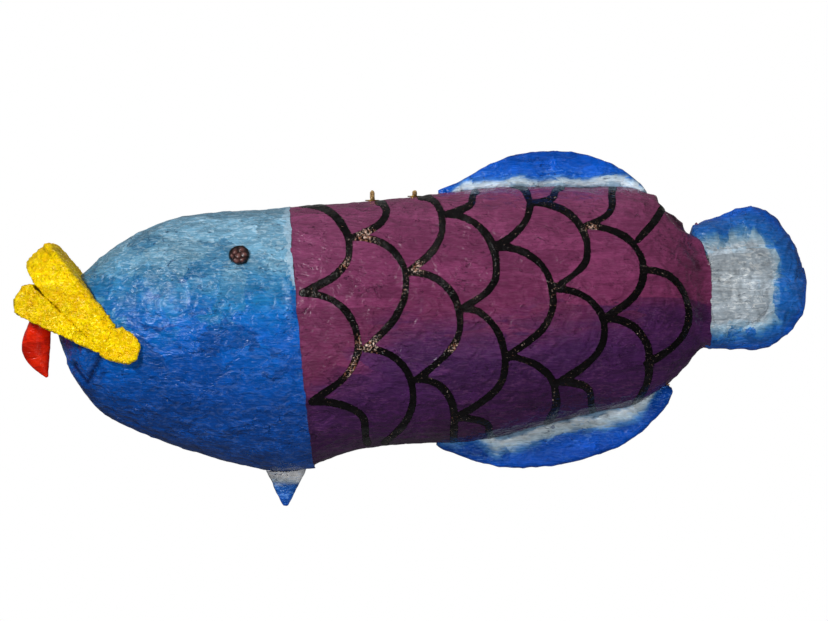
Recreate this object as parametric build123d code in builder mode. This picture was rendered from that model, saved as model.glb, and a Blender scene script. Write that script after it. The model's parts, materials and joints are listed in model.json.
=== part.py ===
from build123d import *
import os
from collections import namedtuple
from math import cos, radians, sin

# A hand-made fish pinata: a hollow papier-mache shell made in two halves, head and body, joined at
# the neck over a cardboard ring. Fins, lips, tongue and eyes are separate pieces glued on. A cord
# through two eyelets in the back ends in a hanging loop, a stick inside carries the pull, and a
# flap cut in the right flank is the filling door.
#
# Lengths are in millimetres. +X runs from nose to tail, +Z is up, and the fish's left side faces -Y.
# The origin is the middle of the fish's bounding box.

# ---- Shell ----
WALL = 3.0              # papier-mache wall
GLUE_GAP = 0.3          # room between a loose inner piece and the shell

# A hull is a row of upright ovals strung between a back line and a belly line, both (x, z), with
# their half widths along a flank line, (x, y). All three lines run away from the hull's first oval.
Hull = namedtuple("Hull", "back belly flank sections")
NECK_BACK = (-104.5, 103.0)
NECK_BELLY = (-84.0, -117.0)
NECK_FLANK = (-94.0, 88.0)
HEAD = Hull(
    back=[
        NECK_BACK, (-133, 101), (-165, 99), (-196, 95), (-222, 86), (-247, 73), (-264, 60), (-283, 42),
    ],
    belly=[
        NECK_BELLY, (-120, -121), (-145, -116), (-196, -101),
        (-247, -81), (-273, -64), (-288, -38), (-300, -2),
    ],
    flank=[NECK_FLANK, (-140, 87), (-190, 80), (-225, 69), (-254, 55), (-278, 39), (-291, 25)],
    sections=13,
)
BODY = Hull(
    back=[
        NECK_BACK, (-50, 107.5), (0, 112), (60, 119), (110, 121),
        (160, 120.3), (199, 116), (220, 101), (250, 75),
    ],
    belly=[
        NECK_BELLY, (-50, -104.5), (0, -98), (60, -95), (110, -83),
        (160, -71.5), (199, -60), (225, -41), (250, -18),
    ],
    flank=[NECK_FLANK, (-40, 88), (20, 86), (80, 83), (130, 77), (180, 67), (215, 54), (250, 33)],
    sections=19,
)
TAIL = Hull(
    back=[
        (240, 70), (250, 73), (257, 88), (270, 98), (288, 104), (305, 98), (320, 81), (331, 58), (335, 44),
    ],
    belly=[
        (240, -11), (250, -12), (257, -15), (270, -17), (290, -18),
        (305, -15), (320, -4), (331, 9), (335, 17),
    ],
    flank=[(240, 27), (257, 29), (270, 26), (288, 23), (305, 20), (320, 16), (331, 10), (335, 6)],
    sections=11,
)
TAIL_SKIN = 3.0
NECK_RING_REACH = 14    # how far the ring goes into each half
NECK_RING_WALL = 2.0

# ---- Fins: a cardboard blade under a papier-mache skin ----
FIN_THICK = 11.0
FIN_CARD = 3.0
FIN_EDGE = 5.0          # skin between the card's edge and the fin's rim
FIN_ROUND = 4.0
TAB_WIDTH = 20.0
TAB_REACH = 9.0         # how far a tab stands inside the shell
TAB_ROOT = 4.0          # how far a tab runs up into the blade
SLOT_GAP = 0.2
DORSAL_RIM = [(20, 113), (46, 127.5), (76, 143), (112, 151), (150, 147), (184, 132), (204, 112)]
VENTRAL_RIM = [(20, -95), (48, -110), (78, -117.5), (108, -118), (150, -110.5), (190, -92), (220, -52)]
DORSAL_TABS = [52, 110, 168]
VENTRAL_TABS = [60, 118, 176]
PELVIC_X = -106.5
PELVIC_OVALS = [(-112, 21.0, 9.5), (-126, 14.5, 6.5), (-151, 2.2, 1.6)]     # height and half axes

# ---- Mouth, in side view as (x, z), and the lips' outline across the fish ----
MOUTH_CORNER = (-250.0, -11.0)
MOUTH_RISE = 38.5       # the mouth line climbs towards the nose by this angle, in degrees
UPPER_LIP_SIDE = [(-246, -3), (-308.6, 71), (-325.6, 56.5), (-318, 39), (-259, -18)]
LOWER_LIP_SIDE = [
    (-259, -18.6), (-319.5, 38.4), (-328, 36.5), (-335, 24), (-333.5, 13), (-325, 8), (-259, -20.8),
]
KNOB_SIDE = [
    (-247, -2), (-240, 0.5), (-235, -3.5), (-228, -8.5), (-226.5, -16.5),
    (-229, -24.5), (-235.5, -29), (-247, -26), (-258.5, -20.3),
]
LIP_REACH = 101.0       # from the mouth's corner to the front of the lips
LIP_FRONT = [(93, 33), (78, 45)]                # ahead of the corner, out from the middle
LIP_FLANK = [(42, 55), (0, 66), (-34, 76)]
LIP_THICK = 15.0
LIP_TOP = [(-220, -44), (-308.6, 71), (-400, 100), (-400, -200), (-220, -200)]
LIP_ROOF = 9.0          # the mouth's hollow lies this far under LIP_TOP
KNOB_STAND_OFF = 2.5    # the knob stands this far outside the lips

# The tongue's front and rear edges in side view, from its root behind the lower lip to its tip
TONGUE = Hull(
    back=[(-305, 22), (-306, 2), (-307, -20), (-308, -33), (-308.4, -41)],
    belly=[(-321, 22), (-328, -2), (-331, -19), (-325, -30), (-310.4, -42)],
    flank=[(-312, 10), (-317, 13), (-319, 12), (-316, 9), (-309.5, 1.5)],
    sections=7,
)

EYE_X = -143.2
EYE_Z = 61.2
EYE_RADIUS = 8.8
EYE_HEIGHT = 3.5
EYE_EDGE = 2.4

# ---- Filling door in the right flank ----
DOOR_X = (12.0, 102.0)
DOOR_Z = (-26.0, 46.0)
DOOR_GAP = 0.8
TAPE_THICK = 0.8
TAPE_WIDTH = 15.0       # of each half, above and below the fold
TAPE_SHORT = 3.0        # the tape ends this far inside each corner of the door
STOP_LIP = 7.0          # the stop frame reaches this far behind door and shell
STOP_THICK = 2.0
STOP_FIT = 0.1
TAB_SIZE = (24.0, 30.0)
TAB_THICK = 1.4
TAB_LAP = 1.0           # the free end and the glued end of the pull tab overlap by this
TAB_CLEAR = 0.4         # the free end stands this far off the shell

# ---- Hanging cord ----
HANGER_X = -15.0        # over the centre of mass, so that the fish hangs level
CORD_SPREAD = 18.0      # each eyelet is this far from HANGER_X
CORD_RADIUS = 2.0
CORD_CLEAR = 1.4        # the loop lies this far off the back
CORD_BEND = 8.0
LOOP_LENGTH = 52.0      # across the back, from the eyelets to the loop's end
LOOP_HALF = [(1.0, 0.0), (1.0, 14.0), (0.92, 28.0), (0.6, 43.0)]    # share of CORD_SPREAD, across
EYELET_BORE = 2.5
EYELET_BARREL = 3.4
EYELET_FLANGE = 6.0
EYELET_FIT = 0.1
EYELET_TAIL = 4.0       # below the patch
FLANGE_THICK = 0.8
PATCH_THICK = 2.0
PATCH_SIZE = (64.0, 46.0)
STICK_RADIUS = 5.0
STICK_HALF = 40.0
STICK_CLEAR = 3.0       # under the shell at the stick's ends
STICK_ROUND = 1.2
KNOT_RADIUS = 5.0
KNOT_OFFSET = 12.0      # behind HANGER_X

# ---- Sweets ----
SWEET_PROFILE = [
    (-20, 0), (-20, 7), (-10.5, 1.6), (-9, 5), (-5, 7.5), (5, 7.5), (9, 5), (10.5, 1.6), (20, 7), (20, 0),
]
SWEET_ROWS = 4
SWEET_PITCH = 42.0
SWEET_START = -56.0
SWEET_FLOOR = -88.0     # centre of the lowest sweets, at SWEET_START
SWEET_SLOPE = 0.13      # the belly climbs towards the tail
SWEET_LAYER = 15.5
SWEET_LAYERS = [(-11, 11), (-28, -9.4, 9.4, 28), (-37, -18.5, 0, 18.5, 37)]
SWEET_TURN = 4.0        # degrees

FAR = 400.0             # longer than the fish, for cutting blocks
THROUGH = 24.0          # longer than the shell is thick, for cutting through it
UPWARDS = (Align.CENTER, Align.CENTER, Align.MIN)
DOWNWARDS = (Align.CENTER, Align.CENTER, Align.MAX)


def section_plane(hull, along):
    """The plane of the oval at a fraction of the way along a hull. It faces +X, and its Y axis
    points from the belly line to the back line."""
    back = Spline(*hull.back) @ along
    belly = Spline(*hull.belly) @ along
    middle = (back + belly) / 2
    up = (back - belly).normalized()
    return Plane(origin=(middle.X, 0, middle.Y), x_dir=(0, 1, 0), z_dir=(up.Y, 0, -up.X))


def ovals(hull, inset=0.0):
    """A hull's ovals as sections for a loft, each smaller all round by inset."""
    sections = []
    for index in range(hull.sections):
        along = index / (hull.sections - 1)
        back = Spline(*hull.back) @ along
        belly = Spline(*hull.belly) @ along
        half_height = (back - belly).length / 2
        half_width = (Spline(*hull.flank) @ along).Y
        with BuildSketch(section_plane(hull, along)) as section:
            Ellipse(half_width - inset, half_height - inset)
        sections.append(section.sketch)
    return sections


def last_hit(solid, start, direction):
    """Where a ray leaves the solid for the last time, and the surface's normal there."""
    return solid.find_intersection_points(Axis(start, direction))[-1]


def save(piece, name):
    """Label a finished piece and write its STEP file."""
    piece.part.label = name
    export_step(piece.part, f"parts/{name}.step")


os.makedirs("parts", exist_ok=True)

# Solid forms of head and body, for cutting what is glued on to their surface
with BuildPart() as head_form:
    loft(ovals(HEAD))
with BuildPart() as body_form:
    loft(ovals(BODY))


# ---------------------------------------------------------------- fins
def fin_outline(rim, thickness, lower=0.0):
    """A fin's side outline, moved down by lower: the rim as one curve over a straight root that
    lies inside the body. It is placed to be extruded by thickness about the middle plane."""
    points = [(x, z - lower) for x, z in rim]
    with BuildSketch(Plane.XZ.offset(-thickness / 2)) as outline:
        with BuildLine():
            Spline(*points)
            Line(points[-1], points[0])
        make_face()
    return outline.sketch


def tab_places(tabs, up):
    """Where the tabs of a card meet the body's surface; up is -1 for a fin under the belly."""
    return [last_hit(body_form.part, (x, 0, 0), (0, 0, up))[0] for x in tabs]


def fin_card(rim, tabs, up):
    """The cardboard blade of a fin, with tabs that reach through slots into the shell. up is 1 for
    the fin on the back and -1 for the one under the belly."""
    inwards = DOWNWARDS if up > 0 else UPWARDS
    places = tab_places(tabs, up)
    with BuildPart() as card:
        extrude(fin_outline(rim, FIN_CARD, lower=up * FIN_EDGE), amount=FIN_CARD)
        add(body_form.part, mode=Mode.SUBTRACT)
        with Locations(*places):
            Box(TAB_WIDTH, FIN_CARD, 2 * TAB_ROOT)
        with Locations(*[point - (0, 0, up * TAB_ROOT) for point in places]):
            Box(TAB_WIDTH, FIN_CARD, WALL + TAB_REACH - TAB_ROOT, align=inwards)
    return card


def fin_skin(rim, card):
    """The papier-mache skin over a blade, rounded along its rim."""
    with BuildPart() as skin:
        extrude(fin_outline(rim, FIN_THICK), amount=FIN_THICK)
        fillet(skin.edges().filter_by(GeomType.BSPLINE), FIN_ROUND)
        add(body_form.part, mode=Mode.SUBTRACT)
        add(card.part, mode=Mode.SUBTRACT)
    return skin


def tab_slots(tabs, up):
    """Blocks that cut the slots for a card's tabs."""
    with BuildPart() as blocks:
        with Locations(*tab_places(tabs, up)):
            Box(TAB_WIDTH + 2 * SLOT_GAP, FIN_CARD + 2 * SLOT_GAP, THROUGH)
    return blocks.part


dorsal_fin_card = fin_card(DORSAL_RIM, DORSAL_TABS, 1)
dorsal_fin_skin = fin_skin(DORSAL_RIM, dorsal_fin_card)
ventral_fin_card = fin_card(VENTRAL_RIM, VENTRAL_TABS, -1)
ventral_fin_skin = fin_skin(VENTRAL_RIM, ventral_fin_card)

with BuildPart() as pelvic_fin:
    for height, half_length, half_thick in PELVIC_OVALS:
        with BuildSketch(Plane.XY.offset(height)):
            with Locations((PELVIC_X, 0)):
                Ellipse(half_length, half_thick)
    loft()
    add(head_form.part, mode=Mode.SUBTRACT)

# ---------------------------------------------------------------- hanger places
cord_x = (HANGER_X - CORD_SPREAD, HANGER_X + CORD_SPREAD)
back_points = [last_hit(body_form.part, (x, 0, 0), (0, 0, 1))[0] for x in cord_x]
eyelet_places = [point - (0, 0, FLANGE_THICK / 2) for point in back_points]
pivot_z = max(point.Z for point in back_points) + CORD_RADIUS + CORD_CLEAR

# ---------------------------------------------------------------- shells
door_centre = (sum(DOOR_X) / 2, FAR / 4, sum(DOOR_Z) / 2)
door_size = (DOOR_X[1] - DOOR_X[0], DOOR_Z[1] - DOOR_Z[0])

with BuildPart() as head_hollow:
    loft(ovals(HEAD, WALL))
    split(bisect_by=section_plane(HEAD, 1).offset(WALL), keep=Keep.TOP)

with BuildPart() as head_shell:
    add(head_form.part)
    add(head_hollow.part, mode=Mode.SUBTRACT)

with BuildPart() as body_shell:
    add(body_form.part)
    loft(ovals(BODY, WALL), mode=Mode.SUBTRACT)
    with Locations(door_centre):
        Box(door_size[0], FAR / 2, door_size[1], mode=Mode.SUBTRACT)
    add(tab_slots(DORSAL_TABS, 1), mode=Mode.SUBTRACT)
    add(tab_slots(VENTRAL_TABS, -1), mode=Mode.SUBTRACT)
    with Locations(*eyelet_places):
        Cylinder(EYELET_BARREL + EYELET_FIT, THROUGH, mode=Mode.SUBTRACT)
        Cylinder(EYELET_FLANGE + EYELET_FIT, WALL, align=UPWARDS, mode=Mode.SUBTRACT)

neck_plane = section_plane(BODY, 0)
ring_outside = WALL + GLUE_GAP
ring_inside = ring_outside + NECK_RING_WALL

with BuildPart() as neck_ring:
    loft(ovals(HEAD, ring_outside))
    loft(ovals(BODY, ring_outside))
    loft(ovals(HEAD, ring_inside), mode=Mode.SUBTRACT)
    loft(ovals(BODY, ring_inside), mode=Mode.SUBTRACT)
    split(bisect_by=neck_plane.offset(NECK_RING_REACH), keep=Keep.BOTTOM)
    split(bisect_by=neck_plane.offset(-NECK_RING_REACH), keep=Keep.TOP)

# ---------------------------------------------------------------- tail
tail_end = section_plane(TAIL, 1)

with BuildPart() as tail_hollow:
    loft(ovals(TAIL, TAIL_SKIN))
    split(bisect_by=tail_end.offset(-TAIL_SKIN), keep=Keep.BOTTOM)

with BuildPart() as tail_skin:
    loft(ovals(TAIL))
    add(tail_hollow.part, mode=Mode.SUBTRACT)

with BuildPart() as tail_stuffing:
    loft(ovals(TAIL, TAIL_SKIN + GLUE_GAP))
    split(bisect_by=tail_end.offset(-TAIL_SKIN - GLUE_GAP), keep=Keep.BOTTOM)

# ---------------------------------------------------------------- mouth
rise = radians(MOUTH_RISE)
mouth_plane = Plane(
    origin=(MOUTH_CORNER[0], 0, MOUTH_CORNER[1]),
    x_dir=(-cos(rise), 0, sin(rise)),
    z_dir=(sin(rise), 0, cos(rise)),
)


def lip_outline(grow=0.0):
    """The lips' outline on the mouth plane: blunt at the front, wider towards the corners."""
    half = [(LIP_REACH + grow, 0)]
    half += [(ahead + grow, out + grow) for ahead, out in LIP_FRONT]
    half += [(ahead, out + grow) for ahead, out in LIP_FLANK]
    other = [(ahead, -out) for ahead, out in reversed(half[1:])]
    with BuildSketch(mouth_plane) as outline:
        with BuildLine():
            Spline(*other, *half)
            Line(half[-1], other[0])
        make_face()
    return outline.sketch


def side_prism(points):
    """A side view outline, carried right across the fish."""
    with BuildSketch(Plane.XZ) as outline:
        with BuildLine():
            Polyline(*points, close=True)
        make_face()
    with BuildPart() as prism:
        extrude(outline.sketch, amount=FAR / 4, both=True)
    return prism.part


under_roof = [(x - LIP_ROOF * sin(rise), z - LIP_ROOF * cos(rise)) for x, z in LIP_TOP]

with BuildPart() as mouth_hollow:
    extrude(lip_outline(-LIP_THICK), amount=FAR / 4, both=True)
    add(side_prism(under_roof), mode=Mode.INTERSECT)


def lip(side):
    """A bar of pulp that wraps the snout, cut to its outline in side view."""
    with BuildPart() as bar:
        extrude(lip_outline(), amount=FAR / 4, both=True)
        add(side_prism(side), mode=Mode.INTERSECT)
        add(mouth_hollow.part, mode=Mode.SUBTRACT)
        add(head_form.part, mode=Mode.SUBTRACT)
    return bar


upper_lip = lip(UPPER_LIP_SIDE)
lower_lip = lip(LOWER_LIP_SIDE)

with BuildPart() as left_mouth_corner:
    extrude(lip_outline(KNOB_STAND_OFF), amount=FAR / 4, both=True)
    add(side_prism(KNOB_SIDE), mode=Mode.INTERSECT)
    split(bisect_by=Plane.XZ, keep=Keep.TOP)
    add(head_form.part, mode=Mode.SUBTRACT)
    add(upper_lip.part, mode=Mode.SUBTRACT)
    add(lower_lip.part, mode=Mode.SUBTRACT)

with BuildPart() as right_mouth_corner:
    mirror(left_mouth_corner.part, about=Plane.XZ)

with BuildPart() as tongue:
    loft(ovals(TONGUE))
    add(head_form.part, mode=Mode.SUBTRACT)
    add(lower_lip.part, mode=Mode.SUBTRACT)
    add(upper_lip.part, mode=Mode.SUBTRACT)


# ---------------------------------------------------------------- eyes
eye_point, eye_normal = last_hit(head_form.part, (EYE_X, 0, EYE_Z), (0, -1, 0))

with BuildPart() as left_eye:
    with Locations(Location(Plane(origin=eye_point, z_dir=eye_normal))):
        Cylinder(EYE_RADIUS, 2 * EYE_HEIGHT)
    fillet(left_eye.edges().group_by(Axis(eye_point, eye_normal))[-1], EYE_EDGE)
    add(head_form.part, mode=Mode.SUBTRACT)

with BuildPart() as right_eye:
    mirror(left_eye.part, about=Plane.XZ)

# ---------------------------------------------------------------- filling door
with BuildPart() as filling_door:
    loft(ovals(BODY))
    loft(ovals(BODY, WALL), mode=Mode.SUBTRACT)
    with Locations(door_centre):
        Box(door_size[0] - 2 * DOOR_GAP, FAR / 2, door_size[1] - 2 * DOOR_GAP, mode=Mode.INTERSECT)

with BuildPart() as door_stop_frame:
    loft(ovals(BODY, WALL + STOP_FIT))
    loft(ovals(BODY, WALL + STOP_FIT + STOP_THICK), mode=Mode.SUBTRACT)
    with Locations(door_centre):
        Box(door_size[0] + 2 * STOP_LIP, FAR / 2, door_size[1] + 2 * STOP_LIP, mode=Mode.INTERSECT)
        Box(door_size[0] - 2 * STOP_LIP, FAR / 2, door_size[1] - 2 * STOP_LIP, mode=Mode.SUBTRACT)


def flank_strip(x_range, z_range, inner, outer):
    """A strip on the right flank between two heights above the shell's surface."""
    middle = (sum(x_range) / 2, FAR / 4, sum(z_range) / 2)
    with BuildPart() as strip:
        loft(ovals(BODY, -outer))
        loft(ovals(BODY, -inner), mode=Mode.SUBTRACT)
        with Locations(middle):
            Box(x_range[1] - x_range[0], FAR / 2, z_range[1] - z_range[0], mode=Mode.INTERSECT)
    return strip.part


tape_x = (DOOR_X[0] + TAPE_SHORT, DOOR_X[1] - TAPE_SHORT)
door_top = DOOR_Z[1] - DOOR_GAP
door_foot = DOOR_Z[0] + DOOR_GAP

with BuildPart() as hinge_tape_on_shell:
    add(flank_strip(tape_x, (DOOR_Z[1], DOOR_Z[1] + TAPE_WIDTH), 0, TAPE_THICK))

with BuildPart() as hinge_tape_on_door:
    add(flank_strip(tape_x, (door_top - TAPE_WIDTH, door_top), 0, TAPE_THICK))

tab_x = (door_centre[0] - TAB_SIZE[0] / 2, door_centre[0] + TAB_SIZE[0] / 2)
tab_z = (DOOR_Z[0] - TAB_SIZE[1] / 2, DOOR_Z[0] + TAB_SIZE[1] / 2)

with BuildPart() as door_pull_tab:
    add(flank_strip(tab_x, (door_foot, tab_z[1]), 0, TAB_THICK))
    add(flank_strip(tab_x, (tab_z[0], door_foot + TAB_LAP), TAB_CLEAR, TAB_THICK))

# ---------------------------------------------------------------- hanger
with BuildPart() as hanger_patch:
    loft(ovals(BODY, WALL))
    loft(ovals(BODY, WALL + PATCH_THICK), mode=Mode.SUBTRACT)
    with Locations((HANGER_X, 0, FAR / 4)):
        Box(PATCH_SIZE[0], PATCH_SIZE[1], FAR / 2, mode=Mode.INTERSECT)
    with Locations(*eyelet_places):
        Cylinder(EYELET_BARREL + EYELET_FIT, THROUGH, mode=Mode.SUBTRACT)

eyelet_depth = WALL + PATCH_THICK + EYELET_TAIL

with BuildPart() as hanger_eyelets:
    with Locations(*eyelet_places):
        Cylinder(EYELET_FLANGE, FLANGE_THICK, align=UPWARDS)
        Cylinder(EYELET_BARREL, eyelet_depth, align=DOWNWARDS)
        Cylinder(EYELET_BORE, THROUGH, mode=Mode.SUBTRACT)

stick_roof = last_hit(body_form.part, (HANGER_X, STICK_HALF, 0), (0, 0, 1))[0].Z - WALL
stick_z = stick_roof - STICK_CLEAR - STICK_RADIUS

with BuildPart() as hanger_stick:
    with Locations(Location((HANGER_X, 0, stick_z), (90, 0, 0))):
        Cylinder(STICK_RADIUS, 2 * STICK_HALF)
    fillet(hanger_stick.edges().filter_by(GeomType.CIRCLE), STICK_ROUND)

cord_top = pivot_z - CORD_RADIUS - GLUE_GAP
cord_low = stick_z - STICK_RADIUS - CORD_RADIUS - GLUE_GAP
with BuildPart() as hanging_cord_inside:
    with BuildLine() as cord_run:
        FilletPolyline(
            (cord_x[0], 0, cord_top),
            (cord_x[0], 0, cord_low),
            (cord_x[1], 0, cord_low),
            (cord_x[1], 0, cord_top),
            radius=CORD_BEND,
        )
    with BuildSketch(Plane(origin=cord_run.line @ 0, z_dir=cord_run.line % 0)):
        Circle(CORD_RADIUS)
    sweep()
    with Locations((HANGER_X + KNOT_OFFSET, 0, cord_low)):
        Sphere(KNOT_RADIUS)


def drape(x, y):
    """Height of the loop's centre line where it lies on the back."""
    if y == 0:
        return pivot_z
    return last_hit(body_form.part, (x, y, 0), (0, 0, 1))[0].Z + CORD_RADIUS + CORD_CLEAR


loop_half = [(share * CORD_SPREAD, across) for share, across in LOOP_HALF]
loop_points = [(HANGER_X - x, y, drape(HANGER_X - x, y)) for x, y in loop_half]
loop_points.append((HANGER_X, LOOP_LENGTH, drape(HANGER_X, LOOP_LENGTH)))
loop_points += [(HANGER_X + x, y, drape(HANGER_X + x, y)) for x, y in reversed(loop_half)]

with BuildPart() as hanging_loop:
    with BuildLine() as loop_run:
        Spline(*loop_points, tangents=[(0, 1, 0), (0, -1, 0)])
    with BuildSketch(Plane(origin=loop_run.line @ 0, z_dir=loop_run.line % 0)):
        Circle(CORD_RADIUS)
    sweep()
    with Locations(loop_points[0], loop_points[-1]):
        Sphere(CORD_RADIUS)

# ---------------------------------------------------------------- sweets
with BuildPart(mode=Mode.PRIVATE) as sweet:
    with BuildSketch(Plane.XZ):
        with BuildLine():
            Polyline(*SWEET_PROFILE, close=True)
        make_face()
    revolve(axis=Axis.X)


def sweet_places():
    """Rows of sweets lying loosely along the belly, three layers deep, each one a little turned."""
    places = []
    for row in range(SWEET_ROWS):
        x = SWEET_START + SWEET_PITCH * row
        floor = SWEET_FLOOR + SWEET_SLOPE * (x - SWEET_START)
        for layer, across in enumerate(SWEET_LAYERS):
            for index, y in enumerate(across):
                turn = SWEET_TURN if (row + layer + index) % 2 else -SWEET_TURN
                places.append(Location((x, y, floor + SWEET_LAYER * layer), (0, 0, turn)))
    return places


with BuildPart() as wrapped_sweets:
    with Locations(*sweet_places()):
        add(sweet.part)

# ---------------------------------------------------------------- files
save(head_shell, "head_shell")
save(body_shell, "body_shell")
save(neck_ring, "neck_ring")
save(dorsal_fin_skin, "dorsal_fin_skin")
save(dorsal_fin_card, "dorsal_fin_card")
save(ventral_fin_skin, "ventral_fin_skin")
save(ventral_fin_card, "ventral_fin_card")
save(pelvic_fin, "pelvic_fin")
save(tail_skin, "tail_skin")
save(tail_stuffing, "tail_stuffing")
save(upper_lip, "upper_lip")
save(lower_lip, "lower_lip")
save(left_mouth_corner, "left_mouth_corner")
save(right_mouth_corner, "right_mouth_corner")
save(tongue, "tongue")
save(left_eye, "left_eye")
save(right_eye, "right_eye")
save(filling_door, "filling_door")
save(door_stop_frame, "door_stop_frame")
save(hinge_tape_on_shell, "hinge_tape_on_shell")
save(hinge_tape_on_door, "hinge_tape_on_door")
save(door_pull_tab, "door_pull_tab")
save(hanger_patch, "hanger_patch")
save(hanger_eyelets, "hanger_eyelets")
save(hanger_stick, "hanger_stick")
save(hanging_cord_inside, "hanging_cord_inside")
save(hanging_loop, "hanging_loop")
save(wrapped_sweets, "wrapped_sweets")
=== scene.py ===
import json
import math

import bmesh
import bpy
import numpy as np
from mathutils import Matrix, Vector
from mathutils.bvhtree import BVHTree


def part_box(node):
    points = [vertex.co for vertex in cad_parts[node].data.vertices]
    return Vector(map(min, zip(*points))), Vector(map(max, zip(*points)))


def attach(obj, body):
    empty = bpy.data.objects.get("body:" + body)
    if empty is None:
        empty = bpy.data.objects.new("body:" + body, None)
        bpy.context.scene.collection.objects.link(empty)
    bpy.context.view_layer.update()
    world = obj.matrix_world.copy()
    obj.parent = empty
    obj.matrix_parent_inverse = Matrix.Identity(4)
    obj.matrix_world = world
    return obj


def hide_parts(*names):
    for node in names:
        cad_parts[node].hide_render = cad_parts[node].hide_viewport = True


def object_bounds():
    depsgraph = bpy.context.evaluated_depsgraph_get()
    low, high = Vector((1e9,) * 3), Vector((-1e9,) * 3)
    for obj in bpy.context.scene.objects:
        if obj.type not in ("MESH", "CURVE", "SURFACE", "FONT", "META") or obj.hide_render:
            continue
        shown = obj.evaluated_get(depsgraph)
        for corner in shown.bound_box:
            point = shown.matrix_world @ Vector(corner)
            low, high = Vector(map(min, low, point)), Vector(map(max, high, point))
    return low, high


# The looks of a hand-painted papier-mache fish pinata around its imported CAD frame. The frame is in
# metres: +X from nose to tail, +Z up, and the fish's left side faces -Y. Shapes and paint are
# worked out in millimetres and turned into metres when a mesh is made.

MM = 0.001
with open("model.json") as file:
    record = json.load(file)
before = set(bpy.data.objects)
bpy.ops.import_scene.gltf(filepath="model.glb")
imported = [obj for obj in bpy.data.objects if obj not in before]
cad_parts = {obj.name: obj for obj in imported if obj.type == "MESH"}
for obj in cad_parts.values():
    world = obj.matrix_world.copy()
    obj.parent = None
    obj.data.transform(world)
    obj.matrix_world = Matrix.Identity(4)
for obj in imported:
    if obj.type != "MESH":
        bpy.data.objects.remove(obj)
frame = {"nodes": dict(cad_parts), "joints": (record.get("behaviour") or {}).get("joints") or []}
nodes = frame["nodes"]
cad_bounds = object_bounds()


def box_mm(node):
    """A CAD node's lowest and highest corners, in millimetres."""
    low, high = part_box(node)
    return np.array(low) / MM, np.array(high) / MM


fish_bottom = cad_bounds[0][2] / MM
head_high = box_mm("head_shell")[1]
body_low, body_high = box_mm("body_shell")
tail_low = box_mm("tail_skin")[0]
door_low, door_high = box_mm("filling_door")
eyelet_low, eyelet_high = box_mm("hanger_eyelets")
loop_high = box_mm("hanging_loop")[1]

WALL = 3.0                      # papier-mache wall
DOOR_GAP = 0.8                  # between the door and the edge of its opening
NECK_LEAN = math.radians(5.3)   # the neck seam's top leans towards the nose
NECK_MIDDLE = np.array([(head_high[0] + body_low[0]) / 2, 0.0, -7.0])
CAMERA_AWAY = 3520.0            # camera distance: paint is laid out as seen from there
CAMERA_UP = 15.0                # height of the painted lines' vanishing point
TONE_HEIGHT = 220.0             # the tones of head and body run over this height
EDGE = 0.4                      # rays keep this far inside a shell's cut edge
EYELET_FLANGE = 6.0             # half the width of one eyelet
CORD_RADIUS = 2.0
eyelet_x = (eyelet_low[0] + EYELET_FLANGE, eyelet_high[0] - EYELET_FLANGE)


# ---------------------------------------------------------------- noise
def lattice_gradients(cells, seed):
    """A repeatable direction for each lattice corner, one row per corner."""
    mixed = cells[:, 0] * 73856093 ^ cells[:, 1] * 19349663 ^ cells[:, 2] * 83492791 ^ (seed + 1) * 40503
    mixed &= 0xFFFFFFFF
    mixed = (mixed ^ (mixed >> 15)) * 1274126177 & 0xFFFFFFFF
    mixed = (mixed ^ (mixed >> 13)) * 1103515245 & 0xFFFFFFFF
    mixed ^= mixed >> 16
    parts = np.stack([mixed & 1023, (mixed >> 10) & 1023, (mixed >> 20) & 1023], axis=1)
    return parts / 511.5 - 1.0


def noise(points, size, seed=0, stretch=(1, 1, 1)):
    """Smooth noise, roughly -1 to 1, with lumps about size mm across, longer along stretch."""
    scaled = np.asarray(points) / (size * np.array(stretch, float)) + seed * 17.31
    cell = np.floor(scaled).astype(np.int64)
    inside = scaled - cell
    ease = inside * inside * inside * (inside * (inside * 6 - 15) + 10)
    total = np.zeros(len(scaled))
    for corner in np.ndindex(2, 2, 2):
        corner = np.array(corner)
        gradient = lattice_gradients(cell + corner, seed)
        share = np.prod(np.where(corner, ease, 1 - ease), axis=1)
        total += share * np.sum(gradient * (inside - corner), axis=1)
    return total * 1.3


def ridges(points, size, seed=0, stretch=(1, 1, 1)):
    """Noise folded into thin crests, 0 to 1."""
    return np.clip(1 - np.abs(noise(points, size, seed, stretch)) * 3.2, 0, 1)


def wobble(points, amount, size, seed, axes=3):
    """A smooth shift of each point, up to about amount mm along each axis."""
    return amount * np.stack([noise(points, size, seed + k) for k in range(axes)], axis=1)


def smooth_step(value, start, end):
    """0 before start, 1 after end, eased between; start may be above end."""
    t = np.clip((np.asarray(value, float) - start) / (end - start), 0, 1)
    return t * t * (3 - 2 * t)


def hump(points, centre, reach):
    """1 at a place in side view, (x, z), falling to 0 about reach mm away."""
    dx = (points[:, 0] - centre[0]) / reach[0]
    dz = (points[:, 2] - centre[1]) / reach[1]
    return np.exp(-(dx * dx + dz * dz))


def near(distance, width):
    """1 at no distance, falling smoothly to 0 past width mm."""
    return np.exp(-(distance / width) ** 2)


# ---------------------------------------------------------------- meshes
def new_piece(name, points, faces, body, replaced, sharp=50.0):
    """A mesh piece from points in mm, closed and turned outwards, that rides on a CAD body."""
    mesh = bpy.data.meshes.new(name)
    mesh.from_pydata((np.asarray(points) * MM).tolist(), [], faces)
    mesh.validate()
    turned = bmesh.new()
    turned.from_mesh(mesh)
    bmesh.ops.recalc_face_normals(turned, faces=turned.faces)
    turned.to_mesh(mesh)
    turned.free()
    mesh.shade_smooth()
    mesh.set_sharp_from_angle(angle=math.radians(sharp))
    piece = bpy.data.objects.new(name, mesh)
    bpy.context.scene.collection.objects.link(piece)
    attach(piece, body)
    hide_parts(*replaced)
    return piece


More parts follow.
